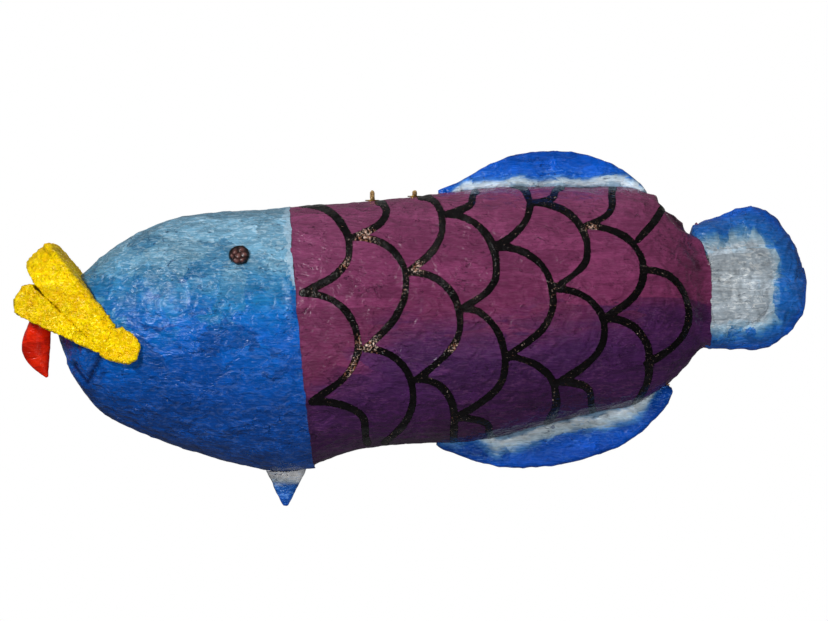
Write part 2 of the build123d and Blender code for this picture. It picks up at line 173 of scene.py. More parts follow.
def paint_values(piece, name, values):
    """Stores one number per vertex for the material to read."""
    attribute = piece.data.attributes.new(name, "FLOAT", "POINT")
    attribute.data.foreach_set("value", np.asarray(values, np.float32))


def paint_tones(piece, tone, dry):
    """Stores where each vertex lies along its paint's colours, and its share of dry strokes."""
    paint_values(piece, "tone", tone)
    paint_values(piece, "dry", dry + 0 * tone)


def points_of(mesh):
    """A mesh's vertices and their normals, in mm."""
    count = len(mesh.vertices)
    points = np.empty(count * 3, np.float32)
    mesh.vertices.foreach_get("co", points)
    normals = np.empty(count * 3, np.float32)
    mesh.vertex_normals.foreach_get("vector", normals)
    return points.reshape(-1, 3).astype(float) / MM, normals.reshape(-1, 3).astype(float)


def tree_of(node):
    """A ray-casting tree of a CAD node."""
    mesh = nodes[node].data
    corners = [vertex.co for vertex in mesh.vertices]
    return BVHTree.FromPolygons(corners, [tuple(face.vertices) for face in mesh.polygons])


def cast_in(tree, origins, directions, reach=260.0):
    """Where rays from outside, coming back towards each origin, first meet the tree; mm."""
    hits = np.empty((len(origins), 3))
    for index, (origin, direction) in enumerate(zip(origins, directions)):
        start = Vector((origin + direction * reach) * MM)
        place = tree.ray_cast(start, Vector(-direction), reach * MM)[0]
        hits[index] = origin if place is None else np.array(place) / MM
    return hits


def grid_normals(grid):
    """Outward normals of a grid of points, rows towards the tail and columns round it."""
    around = np.roll(grid, -1, axis=1) - np.roll(grid, 1, axis=1)
    along = np.gradient(grid, axis=0)
    normals = np.cross(along, around)
    length = np.linalg.norm(normals, axis=2, keepdims=True)
    return normals / np.maximum(length, 1e-9)


def smooth_grid(grid, rounds):
    """Evens out a grid that is closed round its columns; its first and last rows stay."""
    for _ in range(rounds):
        mean = (np.roll(grid, 1, axis=1) + np.roll(grid, -1, axis=1)) / 4
        mean[1:-1] += (grid[:-2] + grid[2:]) / 4
        grid = grid.copy()
        grid[1:-1] = (grid[1:-1] + mean[1:-1]) / 2
    return grid


STEP = 4                        # the inner surface of a shell has every 4th point of the outer one


def stitch(fine, coarse):
    """Faces between a fine edge and a coarse edge that has every STEP-th of its points."""
    faces = []
    for k in range(len(coarse) - 1):
        a, b = coarse[k], coarse[k + 1]
        row = fine[k * STEP:(k + 1) * STEP + 1]
        middle = STEP // 2
        faces += [(row[m], row[m + 1], a) for m in range(middle)]
        faces += [(row[m], row[m + 1], b) for m in range(middle, STEP)]
        faces.append((row[middle], b, a))
    return faces


def shell_faces(rows, columns, hole=None, closed_end=False):
    """Faces of a closed shell: a fine outer grid, a coarse inner one, and the edges between them.
    hole is (first row, last row, first column, last column) of an opening through both."""
    count = rows * columns
    inner_columns = columns // STEP
    inner_rows = (rows - 1) // STEP + 1

    def outer(i, j):
        return i * columns + j % columns

    def inner(i, j):
        return count + i // STEP * inner_columns + (j // STEP) % inner_columns

    def in_hole(i, j):
        return hole is not None and hole[0] <= i < hole[1] and hole[2] <= j < hole[3]

    faces = []
    for i in range(rows - 1):
        for j in range(columns):
            if not in_hole(i, j):
                faces.append((outer(i, j), outer(i + 1, j), outer(i + 1, j + 1), outer(i, j + 1)))
    for i in range(0, rows - 1, STEP):
        for j in range(0, columns, STEP):
            if not in_hole(i, j):
                quad = (inner(i, j), inner(i, j + STEP), inner(i + STEP, j + STEP), inner(i + STEP, j))
                faces.append(quad)
    ring = range(columns + 1)
    coarse_ring = range(0, columns + 1, STEP)
    faces += stitch([outer(0, j) for j in ring], [inner(0, j) for j in coarse_ring])
    if closed_end:
        faces.append([outer(rows - 1, j) for j in range(columns)])
        faces.append([inner(rows - 1, j) for j in range(0, columns, STEP)])
    else:
        faces += stitch([outer(rows - 1, j) for j in ring], [inner(rows - 1, j) for j in coarse_ring])
    if hole is not None:
        first, last, left, right = hole
        for i in (first, last):
            fine = [outer(i, j) for j in range(left, right + 1)]
            faces += stitch(fine, [inner(i, j) for j in range(left, right + 1, STEP)])
        for j in (left, right):
            fine = [outer(i, j) for i in range(first, last + 1)]
            faces += stitch(fine, [inner(i, j) for i in range(first, last + 1, STEP)])
    return faces


def remeshed(node, voxel, smoothing):
    """A CAD node's solid as an even mesh with softened edges: its points, normals and faces."""
    holder = bpy.data.objects.new("remesh_holder", nodes[node].data.copy())
    bpy.context.scene.collection.objects.link(holder)
    remesh = holder.modifiers.new("even", "REMESH")
    remesh.mode = "VOXEL"
    remesh.voxel_size = voxel * MM
    soften = holder.modifiers.new("soften", "SMOOTH")
    soften.iterations = smoothing
    soften.factor = 0.5
    evaluated = holder.evaluated_get(bpy.context.evaluated_depsgraph_get())
    mesh = bpy.data.meshes.new_from_object(evaluated)
    points, normals = points_of(mesh)
    faces = [tuple(p.vertices) for p in mesh.polygons]
    bpy.data.objects.remove(holder)
    bpy.data.meshes.remove(mesh)
    return points, normals, faces


# ---------------------------------------------------------------- paint
SHINE = 0.22                    # how strongly painted paper mirrors light
COAT_ROUGHNESS = 0.25


class Paint:
    """One procedural material. Each method adds nodes and returns an output to link onwards."""

    def __init__(self, name):
        self.material = bpy.data.materials.new(name)
        self.material.use_nodes = True
        self.tree = self.material.node_tree
        self.shader = self.tree.nodes["Principled BSDF"]
        self.place = self.tree.nodes.new("ShaderNodeTexCoord").outputs["Object"]

    def node(self, kind, **settings):
        made = self.tree.nodes.new(kind)
        for key, value in settings.items():
            setattr(made, key, value)
        return made

    def feed(self, socket, value):
        if hasattr(value, "is_output"):
            self.tree.links.new(value, socket)
        else:
            socket.default_value = value

    def scaled(self, size, stretch=(1, 1, 1), seed=0):
        """Position in units of size mm, longer along stretch."""
        mapping = self.node("ShaderNodeMapping")
        self.feed(mapping.inputs["Vector"], self.place)
        mapping.inputs["Scale"].default_value = [1 / (size * MM * s) for s in stretch]
        mapping.inputs["Location"].default_value = (seed * 3.7, seed * 1.9, seed * 5.3)
        return mapping.outputs["Vector"]

    def noise(self, size, detail=3, stretch=(1, 1, 1), seed=0, warp=0.0, rough=0.55):
        """Noise from 0 to 1, lumps about size mm across."""
        made = self.node("ShaderNodeTexNoise")
        self.feed(made.inputs["Vector"], self.scaled(size, stretch, seed))
        made.inputs["Scale"].default_value = 1.0
        made.inputs["Detail"].default_value = detail
        made.inputs["Roughness"].default_value = rough
        made.inputs["Distortion"].default_value = warp
        return made.outputs[0]

    def dabs(self, size, stretch=(1, 1, 1), seed=0):
        """A random number from 0 to 1 for each brush dab, dabs about size mm across."""
        wobble = self.node("ShaderNodeVectorMath", operation="MULTIPLY_ADD")
        made = self.node("ShaderNodeTexNoise")
        self.feed(made.inputs["Vector"], self.scaled(size * 0.35, stretch, seed + 5))
        made.inputs["Scale"].default_value = 1.0
        made.inputs["Detail"].default_value = 3.0
        self.feed(wobble.inputs[0], made.outputs["Color"])
        wobble.inputs[1].default_value = (0.55, 0.55, 0.55)
        self.feed(wobble.inputs[2], self.scaled(size, stretch, seed))
        cells = self.node("ShaderNodeTexVoronoi")
        cells.inputs["Scale"].default_value = 1.0
        self.feed(cells.inputs["Vector"], wobble.outputs[0])
        split = self.node("ShaderNodeSeparateColor")
        self.feed(split.inputs[0], cells.outputs["Color"])
        return split.outputs[0]

    def value(self, name):
        """A number stored on the mesh by paint_values."""
        return self.node("ShaderNodeAttribute", attribute_name=name).outputs["Fac"]

    def math(self, operation, first, second=0.0, third=0.0):
        made = self.node("ShaderNodeMath", operation=operation)
        for socket, value in zip(made.inputs, (first, second, third)):
            self.feed(socket, value)
        return made.outputs[0]

    def spread(self, value, amount):
        """Turns noise about 0.5 into a shift about 0 of the given amount."""
        return self.math("MULTIPLY_ADD", value, 2 * amount, -amount)

    def between(self, value, start, end):
        """0 below start and 1 above end, eased."""
        made = self.node("ShaderNodeMapRange", interpolation_type="SMOOTHSTEP")
        self.feed(made.inputs[0], value)
        made.inputs[1].default_value = start
        made.inputs[2].default_value = end
        return made.outputs[0]

    def ramp(self, value, stops):
        """Colours along a value: stops are (place, (red, green, blue) from 0 to 255)."""
        made = self.node("ShaderNodeValToRGB")
        self.feed(made.inputs[0], value)
        elements = made.color_ramp.elements
        while len(elements) < len(stops):
            elements.new(1.0)
        for element, (place, shade) in zip(elements, stops):
            element.position = place
            element.color = colour(shade)
        return made.outputs[0]

    def mix(self, share, first, second, blend="MIX"):
        made = self.node("ShaderNodeMix", data_type="RGBA", blend_type=blend)
        self.feed(made.inputs[0], share)
        self.feed(made.inputs[6], first)
        self.feed(made.inputs[7], second)
        return made.outputs[2]

    def finish(self, shade, roughness, heights, coat=0.0, metallic=0.0):
        """Links colour, roughness and bump; heights are (value, depth in mm) pairs."""
        normal = None
        for height, depth in heights:
            bump = self.node("ShaderNodeBump")
            bump.inputs["Distance"].default_value = depth * MM
            self.feed(bump.inputs["Height"], height)
            if normal is not None:
                self.feed(bump.inputs["Normal"], normal)
            normal = bump.outputs[0]
        self.feed(self.shader.inputs["Base Color"], shade)
        self.feed(self.shader.inputs["Roughness"], roughness)
        self.feed(self.shader.inputs["Normal"], normal)
        self.shader.inputs["Metallic"].default_value = metallic
        self.shader.inputs["Coat Weight"].default_value = coat
        self.shader.inputs["Coat Roughness"].default_value = COAT_ROUGHNESS
        self.shader.inputs["Specular IOR Level"].default_value = SHINE
        return self.material


def colour(shade):
    """A 0 to 255 screen colour as a linear one."""
    channels = [c / 255 for c in shade]
    linear = [c / 12.92 if c <= 0.04045 else ((c + 0.055) / 1.055) ** 2.4 for c in channels]
    return (*linear, 1.0)


def dress(piece, material):
    piece.data.materials.clear()
    piece.data.materials.append(material)


def acrylic(name, stops, dab, streak, scumble, gloss, pit, contrast,
            band=(14, (5, 5, 1), 0.04), pits=0.55, depth=1.0):
    """Brushed acrylic over rough paper. Colours run along the mesh's tone; dab, band and streak
    shift the tone by brush patches, long strokes and brush hairs: (size, stretch, amount). scumble
    is (colour, share) of dry pale strokes; the two dent settings give the colour and share of
    painted shade in small dents. contrast is how strongly the colour is lightened on the crests of
    the relief and darkened between them, as painted light and shade, and how far the long brush
    bands differ; depth scales the relief. Returns the paint, its colour, its roughness and its bump heights."""
    paint = Paint(name)
    patches = paint.spread(paint.dabs(dab[0], dab[1], seed=2), dab[2])
    long_dabs = paint.dabs(band[0], band[1], seed=5)
    strokes = paint.spread(long_dabs, band[2])
    hairs = paint.noise(streak[0], 4, streak[1], seed=3, warp=0.6)
    cloud = paint.noise(8, 5, (1.6, 1.6, 1), seed=4, warp=1.2)
    shift = paint.math("ADD", patches, paint.spread(hairs, streak[2]))
    shift = paint.math("ADD", shift, paint.spread(cloud, streak[2] * 0.9))
    shift = paint.math("ADD", shift, strokes)
    shade = paint.ramp(paint.math("ADD", paint.value("tone"), shift), stops)
    lumps = paint.between(paint.noise(13, 2, (1.4, 1.4, 1), seed=7, warp=1.0), 0.3, 0.7)
    curls = paint.between(paint.noise(5.5, 1.2, (1.9, 1.9, 1), seed=8, warp=1.8), 0.35, 0.65)
    bristles = paint.between(paint.noise(1.9, 2, (7, 7, 1), seed=10, warp=1.0), 0.3, 0.7)
    thick = paint.between(paint.noise(26, 2, seed=12), 0.42, 0.62)
    dry = paint.noise(4.5, 5, (2.6, 2.6, 1), seed=9, warp=2.4, rough=0.66)
    dry = paint.math("ADD", dry, paint.spread(bristles, 0.04))
    dry = paint.math("MULTIPLY", paint.between(dry, 0.53, 0.58), paint.value("dry"))
    shade = paint.mix(paint.math("MULTIPLY", dry, scumble[1]), shade, colour(scumble[0]))
    # Painted light and shade: the colour is lighter on the crests of the lumps, curls and brush hairs that
    # also raise the bump, and darker between them. The long brush bands add random brightness.
    light = paint.math("MULTIPLY_ADD", bristles, contrast * 0.6, 1 - contrast * 0.3)
    for wave, share in ((lumps, 0.7), (curls, 0.4), (long_dabs, 1.0)):
        wave = paint.math("MULTIPLY_ADD", wave, contrast * share, 1 - contrast * share / 2)
        light = paint.math("MULTIPLY", light, wave)
    shade = paint.mix(1.0, shade, light, "MULTIPLY")
    dents = paint.between(paint.noise(6, 2.5, (1.6, 1.6, 1), seed=11, warp=2.0), 0.36, 0.31)
    dents = paint.math("MULTIPLY", dents, paint.math("MULTIPLY_ADD", thick, 0.8, 0.2))
    # Painted shade: the small dents, which the bump also sinks, are mixed towards the darker dent colour.
    shade = paint.mix(paint.math("MULTIPLY", dents, pits), shade, colour(pit))
    rough = paint.math("MULTIPLY_ADD", bristles, 0.12, gloss - 0.06)
    relief = paint.math("SUBTRACT", paint.math("MULTIPLY", lumps, 1.3), dents)
    curled = paint.math("MULTIPLY", curls, paint.math("MULTIPLY_ADD", thick, 0.85, 0.15))
    heights = [(relief, 0.85 * depth), (curled, 0.38 * depth), (bristles, 0.2 * depth)]
    return paint, shade, rough, heights


def brushed(name, stops, coat, **settings):
    """Brushed acrylic with nothing painted over it, as a finished material."""
    paint, shade, rough, heights = acrylic(name, stops, **settings)
    return paint.finish(shade, rough, heights, coat=coat)


def plain(name, dark, light, size, stretch, gloss, depth, metallic=0.0):
    """A material whose colour wanders between two shades in a grain of the given size."""
    paint = Paint(name)
    grain = paint.noise(size, 5, stretch, seed=1, warp=0.7)
    fine = paint.noise(size * 0.22, 4, stretch, seed=2)
    both = paint.math("ADD", paint.math("MULTIPLY", grain, 0.7), paint.math("MULTIPLY", fine, 0.3))
    shade = paint.ramp(both, [(0.3, dark), (0.7, light)])
    rough = paint.math("MULTIPLY_ADD", fine, 0.25, gloss)
    return paint.finish(shade, rough, [(both, depth)], metallic=metallic)


# ---------------------------------------------------------------- drawing on a surface
def as_seen(points):
    """Side view position (x, z) of surface points as the camera sees them, the same on both flanks."""
    nearer = CAMERA_AWAY / (CAMERA_AWAY - np.abs(points[:, 1]))
    return np.stack([points[:, 0] * nearer, CAMERA_UP + (points[:, 2] - CAMERA_UP) * nearer], axis=1)


def distance_to(line, places):
    """Distance of side view places from a line of points, in mm."""
    line = np.asarray(line, float)
    nearest = np.full(len(places), 1e9)
    for start, end in zip(line[:-1], line[1:]):
        along = end - start
        share = np.clip(((places - start) @ along) / max(along @ along, 1e-9), 0, 1)
        gap = places - start - share[:, None] * along
        nearest = np.minimum(nearest, np.einsum("ij,ij->i", gap, gap))
    return np.sqrt(nearest)


def bezier(points, steps=10):
    """Points along a cubic curve given by its four control points."""
    a, b, c, d = (np.array(p, float) for p in points)
    t = np.linspace(0, 1, steps)[:, None]
    return (1 - t) ** 3 * a + 3 * (1 - t) ** 2 * t * b + 3 * (1 - t) * t ** 2 * c + t ** 3 * d


def scale_arc(start, bulge, end):
    """One painted scale: it leaves start towards the tail, turns down at bulge and curls back."""
    (x0, z0), (x1, z1), (x2, z2) = start, bulge, end
    upper = bezier([start, (x0 + 0.62 * (x1 - x0), z0), (x1, z1 + 0.55 * (z0 - z1)), bulge])
    lower = bezier([bulge, (x1, z1 - 0.5 * (z1 - z2)), (x2 + 0.5 * (x1 - x2), z2 + 0.28 * (z1 - z2)), end])
    return np.vstack([upper, lower[1:]])


# Scales are painted in columns. Each row here goes down one column in side view: corner, bulge,
# corner, bulge and so on to the last corner.
SCALE_COLUMNS = [
    [(-93, 106), (-52, 66), (-92, 30), (-45, -14), (-84, -62), (-39, -82), (-37, -97)],
    [(-28, 107), (-21, 99), (-48, 78), (-4, 40), (-39, -17), (2, -58), (-22, -97)],
    [(8, 112), (27, 90), (-2, 48), (42, 7), (5, -43), (37, -74), (36, -97)],
    [(55, 116), (52, 109), (30, 97), (73, 50), (44, 17), (80, -31), (38, -76), (66, -84), (71, -95)],
    [(87, 122), (101, 105), (73, 70), (121, 24), (81, -24), (124, -61), (116, -80)],
    [(128, 120), (122, 113), (104, 107), (150, 67), (121, 34), (165, -2), (127, -45), (153, -58), (156, -75)],
    [(171, 119), (171, 106), (149, 87), (198, 49), (165, 9), (203, -27), (190, -66)],
    [(201, 50), (236, 10), (201, -30)],
]
SCALE_DASH = [(216, 106), (207, 91), (193, 75)]         # one loose stroke above the last column
INK_HALF_WIDTH = 3.0
# Where the line shows bright flecks, worn chips with painted glints among them, in side view: x, z and how
# far the flecks reach.
FLECKED = [
    (-36, -11, 15), (-48, -34, 12), (-38, 78, 13), (-52, 52, 10), (6, 51, 9), (37, -16, 9), (150, 84, 8),
]


def ink_distance(points):
    """Distance in mm from the edge of the nearest painted scale line, negative on the line."""
    places = as_seen(points) + wobble(points, 0.9, 16, 31, axes=2)
    nearest = distance_to(SCALE_DASH, places)
    for column in SCALE_COLUMNS:
        for k in range(0, len(column) - 2, 2):
            nearest = np.minimum(nearest, distance_to(scale_arc(*column[k:k + 3]), places))
    return nearest - INK_HALF_WIDTH - 0.8 * noise(points, 22, 33)


def fleck_share(points):
    """Where the glossy line shows bright flecks, 0 to 1: worn chips, and painted glints."""
    share = 0.25 + 0.35 * noise(points, 30, 34)
    for x, z, reach in FLECKED:
        share = np.maximum(share, hump(points, (x, z), (reach, reach)))
    return np.clip(share, 0, 1)


# ---------------------------------------------------------------- relief of the papier-mache
def paper_relief(points, seed=0):
    """How far hand-laid paper stands off its form, in mm: swells, lumps, strip edges and dents."""
    swell = 0.55 * noise(points, 70, seed + 1) + 0.6 * noise(points, 26, seed + 2)
    lumps = 0.45 * noise(points, 11, seed + 3) + 0.22 * noise(points, 5.5, seed + 4)
    patchy = smooth_step(noise(points, 34, seed + 5), -0.05, 0.4)
    folds = 0.9 * ridges(points, 20, seed + 6, (1.8, 1.8, 0.8)) ** 2 * patchy
    small_folds = 0.45 * ridges(points, 9, seed + 8, (1.6, 1.6, 1)) ** 2
    dents = -0.9 * smooth_step(noise(points, 8, seed + 7), 0.40, 0.65)
    return swell + lumps + folds + small_folds + dents - 0.4


# Lines in side view: the deep pinch over the tail's root, and the small folds below it.
PINCH = [(214, 108), (222, 95), (229, 87), (238, 84), (249, 78)]
TAIL_FOLDS = [((228, 72), (243, 52)), ((232, 30), (247, 8)), ((236, -2), (246, -14))]


def body_relief(points):
    """Relief of the body: the paper, the raised scale lines and the crumpled tail root."""
    places = points[:, [0, 2]]
    relief = paper_relief(points, 10)
    relief += 0.45 * smooth_step(ink_distance(points), 0.6, -1.2)
    bent = places.copy()
    bent[:, 0] += 2.5 * noise(points, 18, 41)
    pinch = distance_to(PINCH, bent)
    relief -= 4.0 * near(pinch, 3.2)
    relief += 1.8 * near(pinch - 7.5, 3.5)
    for fold in TAIL_FOLDS:
        relief -= 0.8 * near(distance_to(fold, places), 2.2)
    near_tail = smooth_step(points[:, 0], 205, 240)
    relief += near_tail * 1.1 * noise(points, 13, 42, (0.7, 1, 2.2))
    for x in eyelet_x:
        gap = np.hypot(points[:, 0] - x, points[:, 1])
        flat = smooth_step(gap, 13, 8) * (points[:, 2] > 0)
        relief = relief * (1 - flat) - 0.4 * flat
    return relief


# Two folds that meet under the mouth's corner, in side view.
JAW_CREASES = [[(-260, -23), (-265, -32), (-272, -45)], [(-284, -31), (-278, -38), (-272, -45)]]


def jaw_crease(points):
    """Distance in side view from the nearest fold under the mouth's corner."""
    places = points[:, [0, 2]]
    return np.minimum(*[distance_to(crease, places) for crease in JAW_CREASES])


def head_relief(points):
    """Relief of the head: the paper, the folds under the mouth's corner and the hollow by them."""
    relief = paper_relief(points, 50)
    fold = jaw_crease(points)
    relief -= 3.6 * near(fold, 2.6)
    relief += 1.4 * near(fold - 6.0, 3.0)
    relief -= 2.5 * hump(points, (-276, -58), (22, 14))
    return relief


# ---------------------------------------------------------------- body shell and filling door
FAN = 120                       # columns over the back, and again under the belly
SIDE = 40                       # columns down each flank
ROUND = 2 * (FAN + SIDE)
FRONT_ROWS = 56                 # the body's sections ahead of the door's opening
ACROSS_ROWS = 48                # sections across the opening
REAR_ROWS = 81                  # sections behind it
DOOR_ROWS = (FRONT_ROWS, FRONT_ROWS + ACROSS_ROWS)
DOOR_COLUMNS = (FAN, FAN + SIDE)
CLEAN = 8.5                     # slots and eyelets lie nearer the middle plane than this
NECK_DROP = 14.0                # the sections' middle line sinks this far towards the neck,
TAIL_RISE = 18.5                # rises this far towards the tail
TAIL_NARROWING = 26.0           # and gets this much shorter there
PRESSED_ROWS = 12               # the last rows, pressed down onto the tail's root
TAIL_ROOT_HEIGHT = 29.0
# Where the tail's root is padded out over its form: how far, then place and reach in side view.
TAIL_SWELLS = [(20.0, (247, 78), (13, 13)), (3.5, (250, -13), (11, 9))]

door_x = (door_low[0] - DOOR_GAP, door_high[0] + DOOR_GAP)
door_z = (door_low[2] - DOOR_GAP, door_high[2] + DOOR_GAP)
door_middle = (door_z[0] + door_z[1]) / 2
door_half = (door_z[1] - door_z[0]) / 2


def column_rays():
    """For each column: its angle from up towards +Y, and its place on the section's middle line."""
    fan = np.linspace(-90, 90, FAN, endpoint=False)
    down = np.linspace(1, -1, SIDE, endpoint=False)
    angle = np.concatenate([fan, np.full(SIDE, 90.0), fan + 180, np.full(SIDE, 270.0)])
    place = np.concatenate([np.ones(FAN), down, -np.ones(FAN), -down])
    return np.radians(angle), place


column_angle, column_place = column_rays()
mirrored_column = (FAN - np.arange(ROUND)) % ROUND
left_columns = np.nonzero(np.sin(column_angle) <= 1e-9)[0]


def heal_middle(grid, origins, ups):
    """Draws the back and belly anew across the slots and eyelets near the middle plane."""
    rows = len(grid)
    for sign in (1, -1):
        columns = np.nonzero((np.cos(column_angle) * sign > 0.02) & (np.sin(column_angle) <= 1e-9))[0]
        order = columns[np.argsort(-np.abs(np.sin(column_angle[columns])))]
        for i in range(rows):
            across = np.abs(grid[i, order, 1])
            height = (grid[i, order] - origins[i]) @ ups[i]
            last = np.nonzero(across >= CLEAN)[0][-1]
            other = max(last - 3, 0)
            a, b = across[last], across[other]
            bend = (height[last] - height[other]) / min(a * a - b * b, -1e-6)
            peak = height[last] - bend * a * a
            steps = len(order) - 1 - last
            for k in range(1, steps + 1):
                y = a * (1 - k / steps)
                grid[i, order[last + k]] = origins[i] + (0, -y, 0) + ups[i] * (peak + bend * y * y)
    return grid


def section_grid(node, origins, ups, halves, aheads, heal):
    """A node's outer surface met by rays from a middle line in each row. Rays spread round the
    row's up direction and tilt by its ahead vector; the right half mirrors the left."""
    grid = np.zeros((len(origins), ROUND, 3))
    tree = tree_of(node)
    sine, cosine = np.sin(column_angle[left_columns]), np.cos(column_angle[left_columns])
    for i in range(len(origins)):
        share = math.sqrt(max(1 - aheads[i] @ aheads[i], 0))
        directions = (np.outer(sine, (0, 1, 0)) + np.outer(cosine, ups[i])) * share + aheads[i]
        starts = origins[i] + np.outer(column_place[left_columns] * halves[i] * share, ups[i])
        grid[i, left_columns] = cast_in(tree, starts, directions)
    if heal:
        grid = heal_middle(grid, origins, ups)
    right = mirrored_column[left_columns]
    grid[:, right] = grid[:, left_columns] * (1, -1, 1)
    return grid


def body_rows():
    """Where the body's sections lie: x, middle height, half length of the middle line, and lean.
    Rows meet the door opening's front and back edges."""
    front = np.linspace(NECK_MIDDLE[0] + EDGE, door_x[0], FRONT_ROWS, endpoint=False)
    across = np.linspace(door_x[0], door_x[1], ACROSS_ROWS, endpoint=False)
    rear = np.linspace(door_x[1], body_high[0] - EDGE, REAR_ROWS)
    xs = np.concatenate([front, across, rear])
    to_neck = smooth_step(xs, door_x[0], NECK_MIDDLE[0])
    to_tail = smooth_step(xs, door_x[1], body_high[0])
    middles = door_middle - NECK_DROP * to_neck + TAIL_RISE * to_tail
    halves = door_half - TAIL_NARROWING * to_tail
    leans = NECK_LEAN * to_neck
    xs = xs - np.tan(leans) * (middles - NECK_MIDDLE[2]) * to_neck
    origins = np.stack([xs, 0 * xs, middles], axis=1)
    ups = np.stack([-np.sin(leans), 0 * leans, np.cos(leans)], axis=1)
    return origins, ups, halves, np.zeros_like(origins)


tail_tree = tree_of("tail_skin")


def tail_swell(points):
    """How much the tail's root is padded out over its form, above and below."""
    return sum(amount * hump(points, place, reach) for amount, place, reach in TAIL_SWELLS)


def onto_tail(grid):
    """Draws the body's last rows in over the tail's root, where the wet paper was pressed down."""
    grid = grid.copy()
    middle = np.array([0, 0, TAIL_ROOT_HEIGHT])
    for k in range(PRESSED_ROWS):
        i = len(grid) - PRESSED_ROWS + k
        share = ((k + 1) / PRESSED_ROWS) ** 2.2
        ring = grid[i]
        x = ring[:, 0] + 4.0 * share + 1.3 * share * noise(ring, 9, 43)
        x -= share * 12.0 * smooth_step(ring[:, 2], 45, 85)
        starts = np.stack([np.maximum(x, tail_low[0] + 1), 0 * x, 0 * x + TAIL_ROOT_HEIGHT], axis=1)
        out = ring - middle
        out[:, 0] = 0
        out /= np.linalg.norm(out, axis=1, keepdims=True)
        tail = cast_in(tail_tree, starts, out, 120) + out * (1.3 + tail_swell(ring)[:, None])
        moved = ring.copy()
        moved[:, 0] = x
        grid[i] = moved * (1 - share) + tail * share
    return grid


def raised(grid, normals, relief):
    """A grid moved out along its normals by a relief."""
    flat = grid.reshape(-1, 3)
    return (flat + normals.reshape(-1, 3) * relief(flat)[:, None]).reshape(grid.shape)


def shell_piece(name, outer, inner, body, replaced, hole=None, closed_end=False):
    """A closed shell between an outer grid and every STEP-th point of an inner one."""
    inner = inner[::STEP, ::STEP]
    points = np.vstack([outer.reshape(-1, 3), inner.reshape(-1, 3)])
    faces = shell_faces(outer.shape[0], outer.shape[1], hole, closed_end)
    return new_piece(name, points, faces, body, replaced)


body_grid = onto_tail(smooth_grid(section_grid("body_shell", *body_rows(), heal=True), 2))
body_normals = grid_normals(body_grid)
body_outer = raised(body_grid, body_normals, body_relief)
body = shell_piece("body_shell_painted", body_outer, body_outer - body_normals * WALL, "fish",
                   ["body_shell"], hole=DOOR_ROWS + DOOR_COLUMNS)


def paint_body(piece):
    """Stores the body's paint: height above the border between plum and purple, ink, bright flecks (worn
    chips and painted glints) and painted shade along the creases.
    """
    points = points_of(piece.data)[0]
    places = points[:, [0, 2]]
    x, z = points[:, 0], points[:, 2]
    border = -44 + 44 * smooth_step(x, -95, 0) + 0.08 * x + 5 * noise(points, 40, 44)
    dry = np.clip(0.35 + 0.5 * noise(points, 45, 45), 0, 1)
    paint_tones(piece, 0.5 + (z - border) / TONE_HEIGHT, dry)
    paint_values(piece, "ink", ink_distance(points))
    paint_values(piece, "fleck", fleck_share(points))
    pinch = near(distance_to(PINCH, places), 1.9)
    folds = [near(distance_to(fold, places), 1.6) for fold in TAIL_FOLDS]
    # Painted shade along the pinch and the tail folds, for the material to darken.
    paint_values(piece, "crease", np.maximum(0.85 * pinch, 0.45 * np.max(folds, axis=0)))


def body_paint():
    """Plum over dark purple in broad see-through bands, with thick glossy black scale lines, painted shade
    along the pinch and folds over the tail's root, and bright flecks on the lines.
    """
    stops = [
        (0.00, (48, 16, 50)), (0.20, (54, 20, 64)), (0.36, (60, 26, 72)), (0.45, (70, 30, 76)),
        (0.50, (88, 34, 74)), (0.56, (100, 38, 73)), (0.78, (109, 46, 81)), (1.00, (116, 54, 88)),
    ]
    paint, shade, rough, heights = acrylic(
        "body_paint_brushed", stops, dab=(30, (2, 2, 1), 0.035), band=(17, (5, 5, 1), 0.035),
        streak=(3.2, (16, 16, 1), 0.03), scumble=((150, 92, 132), 0.22), gloss=0.27,
        pit=(34, 8, 36), contrast=0.32,
    )
    # Painted shade: the creases over the tail's root are mixed towards near-black plum.
    shade = paint.mix(paint.value("crease"), shade, colour((26, 6, 24)))
    ink_edge = paint.math("ADD", paint.value("ink"), paint.spread(paint.noise(1.6, 4, seed=21), 0.9))
    ink = paint.between(ink_edge, 0.18, -0.18)
    specks = paint.noise(1.5, 4, (1, 1, 1), seed=22, rough=0.75)
    limit = paint.math("MULTIPLY_ADD", paint.value("fleck"), -0.2, 0.70)
    chips_and_glints = paint.between(paint.math("SUBTRACT", specks, limit), 0.0, 0.03)
    # Bright flecks on the line: brown where the paint is chipped, near-white where a glint is painted.
    chip_and_glint_colour = paint.ramp(paint.noise(3, 2, seed=23), [(0.4, (150, 96, 70)), (0.6, (240, 212, 196))])
    line = paint.mix(chips_and_glints, colour((3, 1, 2)), chip_and_glint_colour)
    shade = paint.mix(ink, shade, line)
    rough = paint.math("MULTIPLY_ADD", ink, -0.2, rough)
    beads = paint.math("MULTIPLY", paint.noise(2.4, 3, seed=24), ink)
    return paint.finish(shade, rough, heights + [(ink, 0.5), (beads, 1.2)], coat=0.12)


body_material = body_paint()
paint_body(body)
dress(body, body_material)


DOOR_GRID = (60, 48)            # points along and down the door
PATCH_GRID = (48, 20)           # the same for a piece of tape or card


def flank_grid(x_range, z_range, rows, columns):
    """A rectangle of the body's right flank as a grid of points, with its normals. Rows go along
    the fish and columns go down."""
    xs = np.linspace(*x_range, rows)
    zs = np.linspace(z_range[1], z_range[0], columns)
    x, z = np.meshgrid(xs, zs, indexing="ij")
    origins = np.stack([x.ravel(), 0 * x.ravel(), z.ravel()], axis=1)
    directions = np.tile((0.0, -1.0, 0.0), (len(origins), 1))
    hits = cast_in(tree_of("body_shell"), origins, directions) * (1, -1, 1)
    grid = hits.reshape(rows, columns, 3)
    along = np.gradient(grid, axis=0)
    down = np.gradient(grid, axis=1)
    normals = np.cross(down, along)
    normals /= np.linalg.norm(normals, axis=2, keepdims=True)
    normals *= np.sign(normals[..., 1:2])
    return grid, normals


